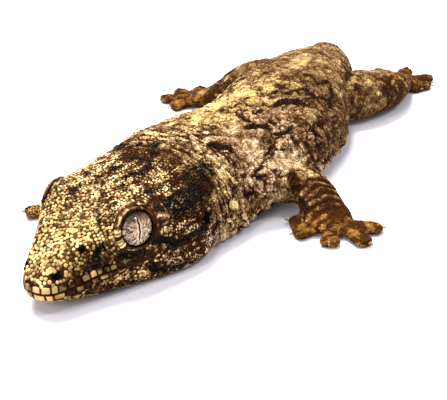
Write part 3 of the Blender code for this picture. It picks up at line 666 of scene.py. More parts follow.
@dataclass(frozen=True)
class Weave:
    """A small helper that adds nodes to one tree."""

    tree: bpy.types.NodeTree

    def add(self, kind: str, **settings: object) -> bpy.types.Node:
        """A new node with some of its settings given.

        Args:
            kind: Type of the node.
            settings: Its settings by name.

        Returns:
            The node.
        """
        node = self.tree.nodes.new(kind)
        for name, value in settings.items():
            setattr(node, name, value)
        return node

    def wire(self, socket: bpy.types.NodeSocket, value: object) -> None:
        """Link or set one input."""
        if isinstance(value, Signal):
            self.tree.links.new(value.socket, socket)
        else:
            socket.default_value = value

    def feed(self, node: bpy.types.Node, *values: object, **named: object) -> list[Signal]:
        """Link or set inputs of a node.

        Args:
            node: The node.
            values: What goes into its first inputs.
            named: What goes into inputs by name, with _ for a space.

        Returns:
            Its outputs.
        """
        for index, value in enumerate(values):
            self.wire(node.inputs[index], value)
        for name, value in named.items():
            self.wire(node.inputs[name.replace("_", " ")], value)
        return [Signal(socket) for socket in node.outputs]

    def maths(self, operation: str, first: object, second: object = 0.0) -> Signal:
        """One sum of two numbers."""
        return self.feed(self.add("ShaderNodeMath", operation=operation), first, second)[0]

    def vector(self, operation: str, first: object, second: object = (0.0, 0.0, 0.0)) -> Signal:
        """One sum of two vectors."""
        made = self.feed(self.add("ShaderNodeVectorMath", operation=operation), first, second)
        return made[1 if operation == "LENGTH" else 0]

    def scaled(self, first: object, size: float) -> Signal:
        """A vector made smaller or larger."""
        return self.feed(self.add("ShaderNodeVectorMath", operation="SCALE"), first, Scale=size)[0]

    def split(self, first: object) -> list[Signal]:
        """The three numbers of a vector."""
        return self.feed(self.add("ShaderNodeSeparateXYZ"), first)

    def from_middle(self, spot: Signal) -> Signal:
        """How far a place on a scale or an eye is from its middle."""
        return self.vector("LENGTH", self.vector("MULTIPLY", spot, (1.0, 1.0, 0.0)))

    def step(self, value: object, low: float, high: float) -> Signal:
        """A soft step from 0 at low to 1 at high."""
        node = self.add("ShaderNodeMapRange", interpolation_type="SMOOTHSTEP")
        return self.feed(node, Value=value, From_Min=low, From_Max=high)[0]

    def blend(self, share: object, first: object, second: object) -> Signal:
        """Two colours mixed by a share.

        Args:
            share: How much there is of the second.
            first: A colour.
            second: A colour.

        Returns:
            The mixed colour.
        """
        node = self.add("ShaderNodeMix", data_type="RGBA")
        for index, value in ((0, share), (6, first), (7, second)):
            self.wire(node.inputs[index], value)
        return Signal(node.outputs[2])

    def ramp(self, value: object, positions: tuple, colours: tuple) -> Signal:
        """A colour read from a row of stops.

        Args:
            value: Where the row is read.
            positions: Places of the stops.
            colours: Colours of the stops.

        Returns:
            The colour.
        """
        node = self.add("ShaderNodeValToRGB")
        stops = node.color_ramp.elements
        while len(stops) < len(positions):
            stops.new(0.5)
        for stop, position, colour in zip(stops, positions, colours):
            stop.position = position
            stop.color = colour
        return self.feed(node, value)[0]

    def noise(self, where: object, scale: float, detail: float = 2.0) -> list[Signal]:
        """Noise at a scale per metre, as a value and as a colour."""
        return self.feed(self.add("ShaderNodeTexNoise"), Vector=where, Scale=scale, Detail=detail)

    def cloud(self, where: object, scale: float, detail: float = 2.0) -> Signal:
        """The value of noise at a scale per metre."""
        return self.noise(where, scale, detail)[0]

    def bent(self, where: Signal, scale: float, push: float) -> Signal:
        """Places pushed about by noise, by up to some millimetres."""
        pushed = self.vector("MULTIPLY", self.noise(where, scale)[1], (push * MM,) * 3)
        return self.vector("ADD", where, pushed)

    def edges(self, where: Signal, scale: float, low: float, high: float) -> Signal:
        """Thin lines between irregular cells, 1 on a line."""
        node = self.add("ShaderNodeTexVoronoi", feature="DISTANCE_TO_EDGE")
        return self.step(self.feed(node, Vector=where, Scale=scale)[0], low, high)

    def here(self) -> Signal:
        """Places on the object in metres."""
        return Signal(self.add("ShaderNodeTexCoord").outputs["Object"])

    def value(self, name: str) -> Signal:
        """A number stored on the mesh."""
        return Signal(self.add("ShaderNodeAttribute", attribute_name=name).outputs["Fac"])

    def stored(self, name: str) -> Signal:
        """A vector stored on the mesh."""
        return Signal(self.add("ShaderNodeAttribute", attribute_name=name).outputs["Vector"])


def new_material(name: str) -> tuple[bpy.types.Material, Weave, bpy.types.Node]:
    """A material with its tree helper and its main shader.

    Args:
        name: Name of the material.

    Returns:
        All three.
    """
    made = bpy.data.materials.new(name)
    made.use_nodes = True
    return made, Weave(made.node_tree), made.node_tree.nodes["Principled BSDF"]


@dataclass(frozen=True)
class ReptileFinish:
    """Colours of the skin and of its scales, from pale to dark."""

    cream: tuple = paint(238, 206, 148)
    sand: tuple = paint(214, 182, 118)
    tan: tuple = paint(152, 125, 78)
    brown: tuple = paint(87, 61, 33)
    dark: tuple = paint(40, 20, 9)
    peach: tuple = paint(214, 168, 112)
    grey_cream: tuple = paint(232, 206, 174)
    grey_sand: tuple = paint(186, 160, 126)
    grey_tan: tuple = paint(136, 103, 74)
    black: tuple = paint(9, 8, 7)
    ochre_pale: tuple = paint(200, 162, 100)
    ochre: tuple = paint(146, 104, 48)
    ochre_dark: tuple = paint(58, 32, 10)
    # Dark seams of the lip plates, and painted shade in the gaps between scales, at their edges and at the
    # lids' edges.
    seam_and_shade: tuple = paint(27, 9, 2)

    def _pattern(self, weave: Weave, shade: Signal, spared: object = 0.0) -> Signal:
        """The colour of the pattern for a shade, from the stored masks.

        Args:
            weave: The material's tree helper.
            shade: The shade, from pale to dark.
            spared: Share of the black that is left out.

        Returns:
            The colour.
        """
        stops = (0.12, 0.34, 0.56, 0.74, 0.95)
        yellow = weave.ramp(shade, stops, (self.cream, self.sand, self.tan, self.brown, self.dark))
        greys = (self.grey_cream, self.grey_sand, self.grey_tan, self.brown, self.dark)
        colour = weave.blend(weave.value("warm"), weave.ramp(shade, stops, greys), yellow)
        ochre = weave.ramp(shade, (0.2, 0.5, 0.85), (self.ochre_pale, self.ochre, self.ochre_dark))
        colour = weave.blend(weave.value("ochre"), colour, ochre)
        black = weave.value("black") * weave.maths("SUBTRACT", 1.0, spared)
        return weave.blend(black, colour, self.black)

    @staticmethod
    def _crackle(weave: Weave, where: Signal) -> Signal:
        """What fine cracks, flakes and collar folds add to the shade behind the head; the dark lines in the
        cracks and folds are painted shade.

        Args:
            weave: The material's tree helper.
            where: Places on the object in metres.

        Returns:
            What is added to the shade.
        """
        bent = weave.vector("MULTIPLY", weave.bent(where, 800.0, 1.0), (1.0, 0.72, 0.85))
        wide = weave.edges(bent, 800.0, 0.13, 0.02)
        small = weave.edges(bent, 1900.0, 0.16, 0.03)
        flake = weave.feed(weave.add("ShaderNodeTexVoronoi"), Vector=bent, Scale=1250.0)[1]
        tone = weave.vector("LENGTH", flake) - 0.95
        side, back, _ = weave.split(where)
        row = back + (weave.cloud(where, 300.0, 3.0) - 0.5) * (9.0 * MM)
        body = weave.step(row, row_at(20.8), row_at(23.2))
        trunk = weave.step(abs(side), 19.0 * MM, 10.5 * MM)
        calm = 1.0 - weave.step(row, row_at(44.0), row_at(59.0)) * 0.62
        uneven = weave.step(weave.cloud(where, 260.0), 0.32, 0.60)
        # The crack lines are painted shade in the crevices; the flakes' tone varies on its own.
        total = (wide * uneven * 0.32 + small * 0.16 + tone * 0.18) * trunk * calm
        # Fine dark lines across the collar: painted shade of small folds that the skin's shape lacks.
        run = back * (1.0 / MM) + weave.cloud(where, 330.0) * 2.6
        stripe = weave.step(abs(weave.maths("SINE", run * (math.pi / 0.72))), 0.50, 0.10)
        collar = weave.step(row, row_at(31.5), row_at(26.5))
        return (total + stripe * collar * 0.42) * body

    @staticmethod
    def _streaks(weave: Weave, where: Signal) -> Signal:
        """What fine lengthwise lines add to the shade of the head behind the snout.

        Args:
            weave: The material's tree helper.
            where: Places on the object in metres.

        Returns:
            What is added to the shade.
        """
        bent = weave.bent(where, 420.0, 1.6)
        lines = weave.edges(weave.vector("MULTIPLY", bent, (1.0, 0.34, 1.0)), 1050.0, 0.20, 0.04)
        specks = weave.edges(weave.vector("MULTIPLY", bent, (1.0, 0.8, 1.0)), 1700.0, 0.14, 0.03)
        rear = weave.step(weave.split(where)[1], row_at(6.0), row_at(13.0))
        uneven = weave.step(weave.cloud(where, 380.0), 0.36, 0.58)
        return (lines * uneven * 0.46 + specks * 0.22 - 0.19) * rear

    def skin(self) -> bpy.types.Material:
        """The skin between the scales, darker than they are: painted shade in the gaps between them.

        Returns:
            The material.
        """
        made, weave, shader = new_material("gecko_skin")
        where = weave.here()
        fine = weave.cloud(where, 2600.0, 3.0)
        shade = weave.value("shade") + (fine - 0.5) * 0.5 + self._crackle(weave, where)
        # Painted shade: the skin between the scales is darkened towards the seam colour, nearly fully on the
        # head and about half as much behind it.
        gap_shade = 0.96 - weave.step(weave.split(where)[1], row_at(20.8), row_at(23.6)) * 0.46
        colour = weave.blend(gap_shade, self._pattern(weave, shade), self.seam_and_shade)
        colour = weave.blend(weave.value("black"), colour, self.black)
        bump = weave.feed(weave.add("ShaderNodeBump"), Distance=0.06 * MM, Strength=0.6, Height=fine)[0]
        weave.feed(shader, Base_Color=colour, Roughness=0.85, Specular_IOR_Level=0.0, Normal=bump)
        return made

    def scales(self, name: str, pits: float, spread: float, rim: float, cracked: bool) -> bpy.types.Material:
        """The raised scales.

        Args:
            name: Name of the material.
            pits: Share of the scales that have a dark middle.
            spread: How much the scales differ from one another.
            rim: How dark they are around their edges.
            cracked: Whether they share the cracks of the body, or else the streaks of the head.

        Returns:
            rim: How dark they are around their edges, painted shade where each scale dips into the gaps.
        """
        made, weave, shader = new_material(name)
        tone = weave.value("tone")
        radius = weave.from_middle(weave.stored("local"))
        lines = self._crackle if cracked else self._streaks
        shade = weave.value("shade") + (tone - 0.5) * spread + lines(weave, weave.here())
        colour = self._pattern(weave, shade, weave.step(tone, 0.78, 0.88) * 0.50)
        # Painted shade: each scale darkens towards its edge, where it dips into the gap.
        colour = weave.blend(weave.step(radius, 0.60, 0.84) * rim, colour, self.seam_and_shade)
        pit = weave.step(radius, 0.30, 0.12) * weave.step(tone, pits, pits - 0.06)
        colour = weave.blend(pit * 0.8, colour, self.dark)
        weave.feed(shader, Base_Color=colour, Roughness=0.45, Specular_IOR_Level=0.03)
        return made

    def lids(self) -> bpy.types.Material:
        """The lids: a dark wet edge, partly painted shade where they meet the eye, then narrow pale scales
        with dark gaps of painted shade between them.

        Returns:
            The material.
        """
        made, weave, shader = new_material("eyelids")
        fine = weave.cloud(weave.here(), 2400.0)
        colour = self._pattern(weave, 0.98 - weave.value("pale") * 0.80 + (fine - 0.5) * 1.2)
        # Painted shade in the gaps between the lid's scales and on the edge that meets the eye.
        colour = weave.blend(weave.step(weave.value("lobe"), 0.8, 0.4) * 0.9, colour, self.seam_and_shade)
        colour = weave.blend(weave.step(weave.value("edge"), 0.2, 0.7), colour, self.seam_and_shade)
        weave.feed(shader, Base_Color=colour, Roughness=0.5, Specular_IOR_Level=0.04)
        return made

    def plates(self) -> bpy.types.Material:
        """The large smooth plates of the lips.

        Returns:
            The material.
        """
        made, weave, shader = new_material("lip_plates")
        along, up, _ = weave.split(weave.stored("local"))
        fine = weave.cloud(weave.here(), 1500.0, 3.0)
        shade = weave.value("shade") + (fine - 0.5) * 0.35 + (weave.value("tone") - 0.40) * 0.5
        colour = weave.ramp(shade, (0.15, 0.4, 0.65, 0.9), (self.cream, self.peach, self.tan, self.dark))
        # The plates' edges darken into their dark seams, with painted shade where they round off.
        edge = weave.step(weave.maths("MAXIMUM", abs(along), abs(up)), 0.72, 1.0)
        colour = weave.blend(edge * 0.85, colour, self.seam_and_shade)
        weave.feed(shader, Base_Color=colour, Roughness=0.5, Specular_IOR_Level=0.03)
        return made


@dataclass(frozen=True)
class ClawFinish:
    """Horn of the claws."""

    root: tuple = paint(150, 112, 66)
    tip: tuple = paint(46, 28, 16)

    def material(self) -> bpy.types.Material:
        """Pale at the root, dark at the tip.

        Returns:
            The material.
        """
        made, weave, shader = new_material("claw_horn")
        colour = weave.ramp(weave.value("along"), (0.1, 0.9), (self.root, self.tip))
        weave.feed(shader, Base_Color=colour, Roughness=0.3)
        return made


@dataclass(frozen=True)
class EyeFinish:
    """The eye's veined iris, its upright slit and its dark rim."""

    silver: tuple = paint(214, 192, 158)
    rose: tuple = paint(164, 132, 104)
    vein: tuple = paint(36, 16, 8)
    rust: tuple = paint(140, 74, 40)
    slit: tuple = paint(16, 8, 8)
    slit_edge: tuple = paint(232, 206, 166)
    rim: tuple = paint(30, 14, 10)

    def material(self, name: str, sign: float) -> bpy.types.Material:
        """The eye's surface, from the stored place on the eye: across, up and out.

        Args:
            name: Name of the material.
            sign: 1 for the left eye and -1 for the right, whose places run the other way.

        Returns:
            The material.
        """
        made, weave, shader = new_material(name)
        spot = weave.stored("local")
        across, up, _ = weave.split(spot)
        across = across * sign
        radius = weave.from_middle(spot)
        angle = weave.maths("ARCTAN2", up, across)
        around = [weave.maths(wave, angle) * 2.2 for wave in ("COSINE", "SINE")]
        polar = weave.feed(weave.add("ShaderNodeCombineXYZ"), *around, radius * 1.1)[0]
        warped = weave.vector("ADD", polar, weave.scaled(weave.noise(spot, 5.0)[1], 0.55))
        veins = weave.step(abs(weave.cloud(warped, 2.3) - 0.5), 0.086, 0.034)
        colour = weave.ramp(weave.cloud(spot, 5.0, 3.0), (0.38, 0.62), (self.rose, self.silver))
        colour = weave.blend(veins * 0.95, colour, self.vein)
        colour = weave.blend(weave.step(radius, 0.5, 0.9) * 0.35, colour, self.vein)
        rust = weave.step(up, 0.05, 0.75) * weave.step(across, -0.5, 0.2)
        colour = weave.blend(rust * 0.55, colour, self.rust)
        wave = weave.maths("SINE", up * 19.0) * 0.014 + weave.maths("SINE", up * 41.0) * 0.008
        height = abs(up)
        apart = abs(across + (0.10 - up * 0.12) + wave) - weave.step(height, 0.66, 0.3) * 0.042
        edge = weave.step(apart, 0.085, 0.03) * weave.step(height, 0.74, 0.6)
        colour = weave.blend(edge * 0.85, colour, self.slit_edge)
        slit = weave.step(apart, 0.022, 0.002) * weave.step(height, 0.66, 0.6)
        colour = weave.blend(slit, colour, self.slit)
        shadow = weave.step(up - across * 0.22, 0.14, 0.62)
        colour = weave.blend(shadow * 0.9, colour, self.rim)
        colour = weave.blend(weave.step(radius, 0.75, 0.83), colour, self.rim)
        coat = {"Coat_Weight": 0.55, "Coat_Roughness": 0.03}
        weave.feed(shader, Base_Color=colour, Roughness=0.3, Specular_IOR_Level=0.08, **coat)
        return made


@dataclass
class Eye:
    """One eyeball and where it looks."""

    sign: float
    radius: float = 2.42
    back: float = 11.45
    side: float = 5.0
    height: float = 7.15
    forward_turn: float = math.radians(17.0)
    up_turn: float = math.radians(13.0)
    rings: int = 40
    sides: int = 64

    @property
    def word(self) -> str:
        """Which side it is on."""
        return "left" if self.sign > 0 else "right"

    @property
    def centre(self) -> Vector:
        """Middle of the ball in metres."""
        return place(self.sign * self.side, self.back, self.height)

    def axes(self) -> tuple[Vector, Vector, Vector]:
        """Unit vectors out of the socket, along the head and up.

        Returns:
            The three of them.
        """
        level = math.cos(self.up_turn)
        out, ahead = math.cos(self.forward_turn) * level, math.sin(self.forward_turn) * level
        look = Vector((self.sign * out, -ahead, math.sin(self.up_turn)))
        along = Vector((0.0, 0.0, 1.0)).cross(look).normalized()
        return look, along, look.cross(along).normalized()

    def build(self, finish: bpy.types.Material) -> None:
        """The ball, with its own places stored on it.

        Args:
            finish: Its material.
        """
        look, along, up = self.axes()
        rows, local = [], []
        for ring in range(1, self.rings):
            tilt = math.pi * ring / self.rings
            for turn in range(self.sides):
                angle = 2.0 * math.pi * turn / self.sides
                u, v, w = math.sin(tilt) * math.cos(angle), math.sin(tilt) * math.sin(angle), math.cos(tilt)
                rows.append(self.centre + (along * u + up * v + look * w) * self.radius * MM)
                local.append((u, v, w))
        faces = [face[:1] + face[:0:-1] for face in bands(0, self.rings - 1, self.sides)]
        rows += [self.centre + look * self.radius * MM, self.centre - look * self.radius * MM]
        local += [(0.0, 0.0, 1.0), (0.0, 0.0, -1.0)]
        front, last = len(rows) - 2, (self.rings - 2) * self.sides
        for turn in range(self.sides):
            after = (turn + 1) % self.sides
            faces.append((front, turn, after))
            faces.append((front + 1, last + after, last + turn))
        made = mesh_object("eyeball_" + self.word, np.array(rows), faces, finish)
        set_vectors(made.data, "local", local)
        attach(made, "root")
        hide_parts("eye_" + self.word)


@dataclass(frozen=True)
class Digits:
    """The digits of one foot: heading in degrees from +X towards the tail, reach from the palm."""

    node: str
    palm: tuple[float, float]
    size: float
    rows: tuple[tuple[float, float], ...]


FEET = (
    Digits("hand_left", (18.5, 34.2), 1.04, ((202, 6.5), (238, 6.5), (294, 5.9), (346, 7.0), (26, 7.2))),
    Digits("hand_right", (-12.5, 18.8), 1.15, ((104, 4.8), (140, 5.6), (172, 5.2), (224, 6.4), (280, 4.6))),
    Digits("foot_left", (4.9, 85.8), 1.14, ((348, 5.2), (17, 6.2), (62, 7.6), (107, 8.3), (152, 8.4))),
    Digits("foot_right", (-20.4, 58.9), 1.14, ((240, 6.0), (197, 7.6), (160, 7.4), (122, 7.4), (80, 6.4))),
)


@dataclass
class Claws:
    """The small hooked claws, one piece for each foot."""

    length: float = 0.62
    radius: float = 0.14
    reach_back: float = 0.36
    rings: int = 10
    sides: int = 10

    def build(self, foot: Digits, finish: bpy.types.Material) -> None:
        """All claws of one foot.

        Args:
            foot: The foot that they grow from.
            finish: Their material.
        """
        rows, share, faces = [], [], []
        palm = np.array([*foot.palm, 0.0])
        for degrees, reach in foot.rows:
            heading = math.radians(degrees)
            along = np.array([math.cos(heading), math.sin(heading), 0.0])
            across = np.array([along[1], -along[0], 0.0])
            start = len(rows)
            for ring in range(self.rings):
                t = ring / self.rings
                middle = palm + along * (reach - self.reach_back - self.length * (1.0 - t))
                middle[2] = (0.42 + 0.30 * math.sin(math.pi * (0.15 + 0.75 * t))) * foot.size
                radius = self.radius * foot.size * (1.0 - 0.8 * t)
                for turn in range(self.sides):
                    angle = 2.0 * math.pi * turn / self.sides
                    point = middle + across * radius * math.cos(angle)
                    point[2] += radius * 1.3 * math.sin(angle)
                    rows.append(point)
                    share.append(t)
            tip = palm + along * (reach - self.reach_back)
            tip[2] = 0.30 * foot.size
            rows.append(tip)
            share.append(1.0)
            faces += bands(start, self.rings, self.sides)
            faces += fan(start + (self.rings - 1) * self.sides, self.sides, len(rows) - 1)
            faces.append(tuple(start + turn for turn in reversed(range(self.sides))))
        places = (np.array(rows) - np.array([0.0, ORIGIN_BACK, 0.0])) * MM
        made = mesh_object("claws_" + foot.node, places, faces, finish)
        face_outward(made.data)
        set_values(made.data, {"along": np.array(share)})
        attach(made, "root")


@dataclass
class Skin:
    """One skin over all the flesh."""

    swell: float = 0.21
    voxel: float = 0.29
    soften: int = 4
    dent_depth: float = 0.42
    dent_rim: float = 0.12
    highest: float = 11.46
    claw_reach: float = 0.58
    claw_apart: float = 1.6
    claw_back: float = 0.25
    eye_edge: tuple[float, float] = (2.5, 3.2)
    left_out: tuple[str, ...] = ("eye_left", "eye_right")
    made: bpy.types.Object | None = None

    def _flesh(self) -> bpy.types.Mesh:
        """All flesh solids swollen a little and laid in one mesh, without their claws.

        Returns:
            The mesh.
        """
        whole = bmesh.new()
        for name, node in frame["nodes"].items():
            if name in self.left_out:
                continue
            work = bmesh.new()
            work.from_mesh(node.data)
            bmesh.ops.remove_doubles(work, verts=work.verts, dist=0.000001)
            work.normal_update()
            for vertex in work.verts:
                vertex.co += vertex.normal * self.swell * MM
            for foot in FEET:
                if foot.node == name:
                    self._drop_claws(work, foot)
            part = bpy.data.meshes.new(name + "_flesh")
            work.to_mesh(part)
            work.free()
            whole.from_mesh(part)
            bpy.data.meshes.remove(part)
        mesh = bpy.data.meshes.new("flesh")
        whole.to_mesh(mesh)
        whole.free()
        return mesh

    def _drop_claws(self, work: bmesh.types.BMesh, foot: Digits) -> None:
        """Draw the claws of a foot back into the ends of its digits.

        Args:
            work: The foot's mesh.
            foot: Its digits.
        """
        for degrees, reach in foot.rows:
            heading = math.radians(degrees)
            along = Vector((math.cos(heading), math.sin(heading), 0.0))
            palm = place(*foot.palm, 0.0)
            end = (reach - self.claw_reach) * MM
            for vertex in work.verts:
                offset = vertex.co - palm
                distance = offset.dot(along)
                apart = (offset - along * distance).to_2d().length
                if distance > end and apart < self.claw_apart * MM:
                    vertex.co = palm + along * (end - self.claw_back * MM)
                    vertex.co.z = 0.5 * foot.size * MM

    def build(self, markings: Markings, finish: bpy.types.Material) -> None:
        """The skin with its folds and its stored pattern.

        Args:
            markings: The pattern.
            finish: Its material.
        """
        base = bpy.data.objects.new("gecko_body", self._flesh())
        bpy.context.scene.collection.objects.link(base)
        remesh = base.modifiers.new("join", "REMESH")
        remesh.mode = "VOXEL"
        remesh.voxel_size = self.voxel * MM
        mesh = settle(base)
        move_to(mesh, coordinates(mesh) - normals(mesh) * self.swell * MM)
        calm = base.modifiers.new("calm", "SMOOTH")
        calm.factor = 0.5
        calm.iterations = self.soften
        mesh = settle(base)
        hole_shade = self._raise(mesh, markings)
        masks = markings.values(on_animal(coordinates(mesh)))
        # The openings are painted black as the shade inside them.
        masks["black"] = np.maximum(masks["black"], hole_shade)
        set_values(mesh, masks)
        mesh.materials.clear()
        mesh.materials.append(finish)
        mesh.shade_smooth()
        self.made = base
        self._unwrap()
        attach(base, "root")
        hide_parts(*[name for name in frame["nodes"] if name not in self.left_out])

    def _raise(self, mesh: bpy.types.Mesh, markings: Markings) -> np.ndarray:
        """Raise and sink the folds, lumps and openings of the skin.

        Args:
            mesh: The skin's mesh.
            markings: The pattern, with the openings.

        Returns:
            1 for each vertex inside an opening, which is painted black as its shade, 0 outside.
        """
        rows = coordinates(mesh)
        out = normals(mesh)
        spots = on_animal(rows)
        rise = markings.values(spots)["rise"]
        hole_shade = np.zeros(len(rows))
        for dent in markings.dents:
            apart = dent.apart(spots)
            hole_shade = np.maximum(hole_shade, smooth(apart, dent.radius + DENT_EDGE, dent.radius + 0.06))
            rise -= self.dent_depth * smooth(apart, dent.radius * 1.25, dent.radius * 0.45)
            rise += self.dent_rim * np.exp(-((apart / dent.radius - 1.45) / 0.3) ** 2)
        for eye in (1.0, -1.0):
            socket = np.linalg.norm(spots - np.array([eye * Eye.side, Eye.back, Eye.height]), axis=1)
            rise *= smooth(socket, *self.eye_edge)
        rise *= smooth(spots[:, 2], 0.02, 0.5)
        rise = np.minimum(rise, self.highest - spots[:, 2])
        rows += out * rise[:, None] * MM
        rows[:, 2] = np.maximum(rows[:, 2], 0.0)
        move_to(mesh, rows)
        return hole_shade

    def _unwrap(self) -> None:
        """Lay the skin's own shape flat as the map that the scales share."""
        self.made.data.uv_layers.new(name=BAKE_MAP)
        bpy.context.view_layer.objects.active = self.made
        self.made.select_set(True)
        bpy.ops.object.mode_set(mode="EDIT")
        bpy.ops.mesh.select_all(action="SELECT")
        bpy.ops.uv.smart_project(angle_limit=math.radians(66.0), island_margin=0.004)
        bpy.ops.object.mode_set(mode="OBJECT")
        self.made.select_set(False)

    def surface(self) -> BVHTree:
        """A tree for finding places on the skin.

        Returns:
            The tree.
        """
        mesh = self.made.data
        faces = [tuple(face.vertices) for face in mesh.polygons]
        return BVHTree.FromPolygons([tuple(vertex.co) for vertex in mesh.vertices], faces)

    def map_at(self, surface: BVHTree, spots: list) -> np.ndarray:
        """Where places on the skin lie in its unwrapped map.

        Args:
            surface: The tree of this skin.
            spots: Places in metres.

        Returns:
            A row of map coordinates for each place.
        """
        mesh = self.made.data
        layer = mesh.uv_layers[BAKE_MAP].uv
        found = [surface.find_nearest(Vector(spot))[2] for spot in spots]
        return np.array([tuple(layer[mesh.polygons[face].loop_start].vector) for face in found])


@dataclass(frozen=True)
class Bed:
    """One stretch of scales on the body."""

    name: str
    start: float
    stop: float
    side_from: float
    side_to: float
    spacing: float
    width: float = 1.45
    fine: bool = False


@dataclass
class Scales:
    """Small raised scales laid over the skin by one node tree."""

    patch: float = 3.0
    densest: float = 3.0e7
    ragged: float = 8.0
    ragged_scale: float = 520.0
    beds: tuple[Bed, ...] = (
        Bed("snout", -6.0, 3.4, -40.0, 40.0, 0.335, 1.74, True),
        Bed("snout_top", 3.4, 6.4, -2.2, 3.4, 0.325, 1.74, True),
        Bed("snout_left", 3.4, 6.4, 3.4, 40.0, 0.255, 1.74, True),
        Bed("snout_right", 3.4, 6.4, -40.0, -2.2, 0.255, 1.74, True),
        Bed("face_left", 6.4, 14.0, 0.0, 40.0, 0.265, 1.74, True),
        Bed("face_right", 6.4, 14.0, -40.0, 0.0, 0.265, 1.74, True),
        Bed("crown", 14.0, 20.5, -11.0, 40.0, 0.228, 1.66, True),
        Bed("neck", 20.5, 31.0, -11.0, 11.0, 0.25),
        Bed("chest", 31.0, 41.0, -40.0, 11.0, 0.25),
        Bed("middle", 41.0, 49.0, -40.0, 11.0, 0.25),
        Bed("back", 49.0, 57.0, -40.0, 11.0, 0.255),
        Bed("rump", 57.0, 66.0, -14.0, 40.0, 0.29),
        Bed("vent", 66.0, 76.0, -40.0, 40.0, 0.30),
        Bed("tail", 76.0, 110.0, -40.0, 40.0, 0.31),
        Bed("arm_left", 24.0, 56.0, 11.0, 40.0, 0.27),
        Bed("arm_right", 12.0, 31.0, -40.0, -11.0, 0.29),
        Bed("leg_right", 57.0, 66.0, -40.0, -14.0, 0.30),
    )

    def _bead(self, fine: bool) -> bpy.types.Object:
        """The shape of one scale, one unit in radius: a low closed dome.

        Args:
            fine: Whether it has the extra ring that flattens its top.

        Returns:
            An object that stays out of the picture.
        """
        rings = [(1.0, -0.26), (0.72, 0.14), (0.40, 0.34)] if fine else [(1.0, -0.26), (0.66, 0.12)]
        rows, sides = [], 6
        for ring, (radius, height) in enumerate(rings):
            for turn in range(sides):
                angle = 2.0 * math.pi * (turn + 0.5 * ring) / sides
                rows.append((radius * math.cos(angle), radius * math.sin(angle), height))
        rows.append((0.0, 0.0, 0.34 if fine else 0.20))
        faces = []
        for a, b, c, d in bands(0, len(rings), sides):
            faces += [(a, b, d), (b, c, d)]
        faces += fan((len(rings) - 1) * sides, sides, len(rows) - 1)
        faces.append(tuple(reversed(range(sides))))
        mesh = bpy.data.meshes.new("bead_fine" if fine else "bead")
        mesh.from_pydata(rows, [], faces)
        mesh.shade_smooth()
        set_vectors(mesh, "local", rows)
        return bpy.data.objects.new(mesh.name, mesh)

    def _tree(self, scatter: bool) -> bpy.types.NodeTree:
        """The node tree that lays the scales.

        Args:
            scatter: True to spread them over a surface, False to put one on each given point.

        Returns:
            The tree.
        """
        tree = bpy.data.node_groups.new("spread_scales" if scatter else "lay_scales", "GeometryNodeTree")
        numbers = ("Spacing", "Width", "Start", "Stop", "Side From", "Side To")
        kinds = {"Geometry": "Geometry", **dict.fromkeys(numbers, "Float")}
        for name, kind in (kinds | {"Bead": "Object", "Finish": "Material"}).items():
            tree.interface.new_socket(name, in_out="INPUT", socket_type="NodeSocket" + kind)
        tree.interface.new_socket("Geometry", in_out="OUTPUT", socket_type="NodeSocketGeometry")
        weave = Weave(tree)
        add, feed = weave.add, weave.feed

        def stored(name: str, kind: str) -> Signal:
            """A value stored on the mesh."""
            return feed(add("GeometryNodeInputNamedAttribute", data_type=kind), Name=name)[0]

        def chance(low: float, high: float, seed: int) -> Signal:
            """A random number for each point.

            Args:
                low: Its least value.
                high: Its greatest value.
                seed: Number that picks the draw.

            Returns:
                The number.
            """
            node = add("FunctionNodeRandomValue", data_type="FLOAT")
            node.inputs[2].default_value = low
            node.inputs[3].default_value = high
            return feed(node, Seed=seed)[1]

        given = {socket.name: Signal(socket) for socket in add("NodeGroupInput").outputs}
        if scatter:
            spread = add("GeometryNodeDistributePointsOnFaces", distribute_method="POISSON")
            feed(spread, Mesh=given["Geometry"], Distance_Min=given["Spacing"], Density_Max=self.densest)
            feed(spread, Density_Factor=stored("room", "FLOAT"), Seed=SEED)
            side, back, _ = weave.split(feed(add("GeometryNodeInputPosition"))[0])
            cloud = feed(add("ShaderNodeTexNoise"), Scale=self.ragged_scale)[0]
            row = back + (cloud - 0.5) * (self.ragged * MM)
            keep = weave.maths("GREATER_THAN", row, given["Start"])
            keep = keep * weave.maths("LESS_THAN", row, given["Stop"])
            keep = keep * weave.maths("GREATER_THAN", side, given["Side From"])
            keep = keep * weave.maths("LESS_THAN", side, given["Side To"])
            drop = add("GeometryNodeDeleteGeometry", domain="POINT")
            dropped = weave.maths("LESS_THAN", keep, 0.5)
            points = feed(drop, Geometry=Signal(spread.outputs["Points"]), Selection=dropped)[0]
            about = add("FunctionNodeAxisAngleToRotation")
            turned = feed(about, Axis=(0.0, 0.0, 1.0), Angle=chance(0.0, 2.0 * math.pi, SEED + 1))[0]
            turn = add("FunctionNodeRotateRotation", rotation_space="LOCAL")
            facing = feed(turn, Rotation=Signal(spread.outputs["Rotation"]), Rotate_By=turned)[0]
            radius = given["Spacing"] * given["Width"] * 0.5 * chance(0.86, 1.1, SEED + 2)
        else:
            points, radius = given["Geometry"], stored("radius", "FLOAT")
            align = add("FunctionNodeAlignRotationToVector", axis="Z")
            facing = feed(align, Vector=stored("out", "FLOAT_VECTOR"))[0]
        toned = add("GeometryNodeStoreNamedAttribute", data_type="FLOAT", domain="POINT")
        points = feed(toned, Geometry=points, Name="tone", Value=chance(0.0, 1.0, SEED))[0]
        bead = add("GeometryNodeObjectInfo")
        feed(bead, Object=given["Bead"])
        shape = Signal(bead.outputs["Geometry"])
        lay = add("GeometryNodeInstanceOnPoints")
        laid = feed(lay, Points=points, Instance=shape, Rotation=facing, Scale=radius)[0]
        real = feed(add("GeometryNodeRealizeInstances"), laid)[0]
        patch = weave.scaled(stored("local", "FLOAT_VECTOR"), self.patch / 2.0 * MM)
        spot = weave.vector("ADD", stored(BAKE_MAP if scatter else "root_map", "FLOAT_VECTOR"), patch)
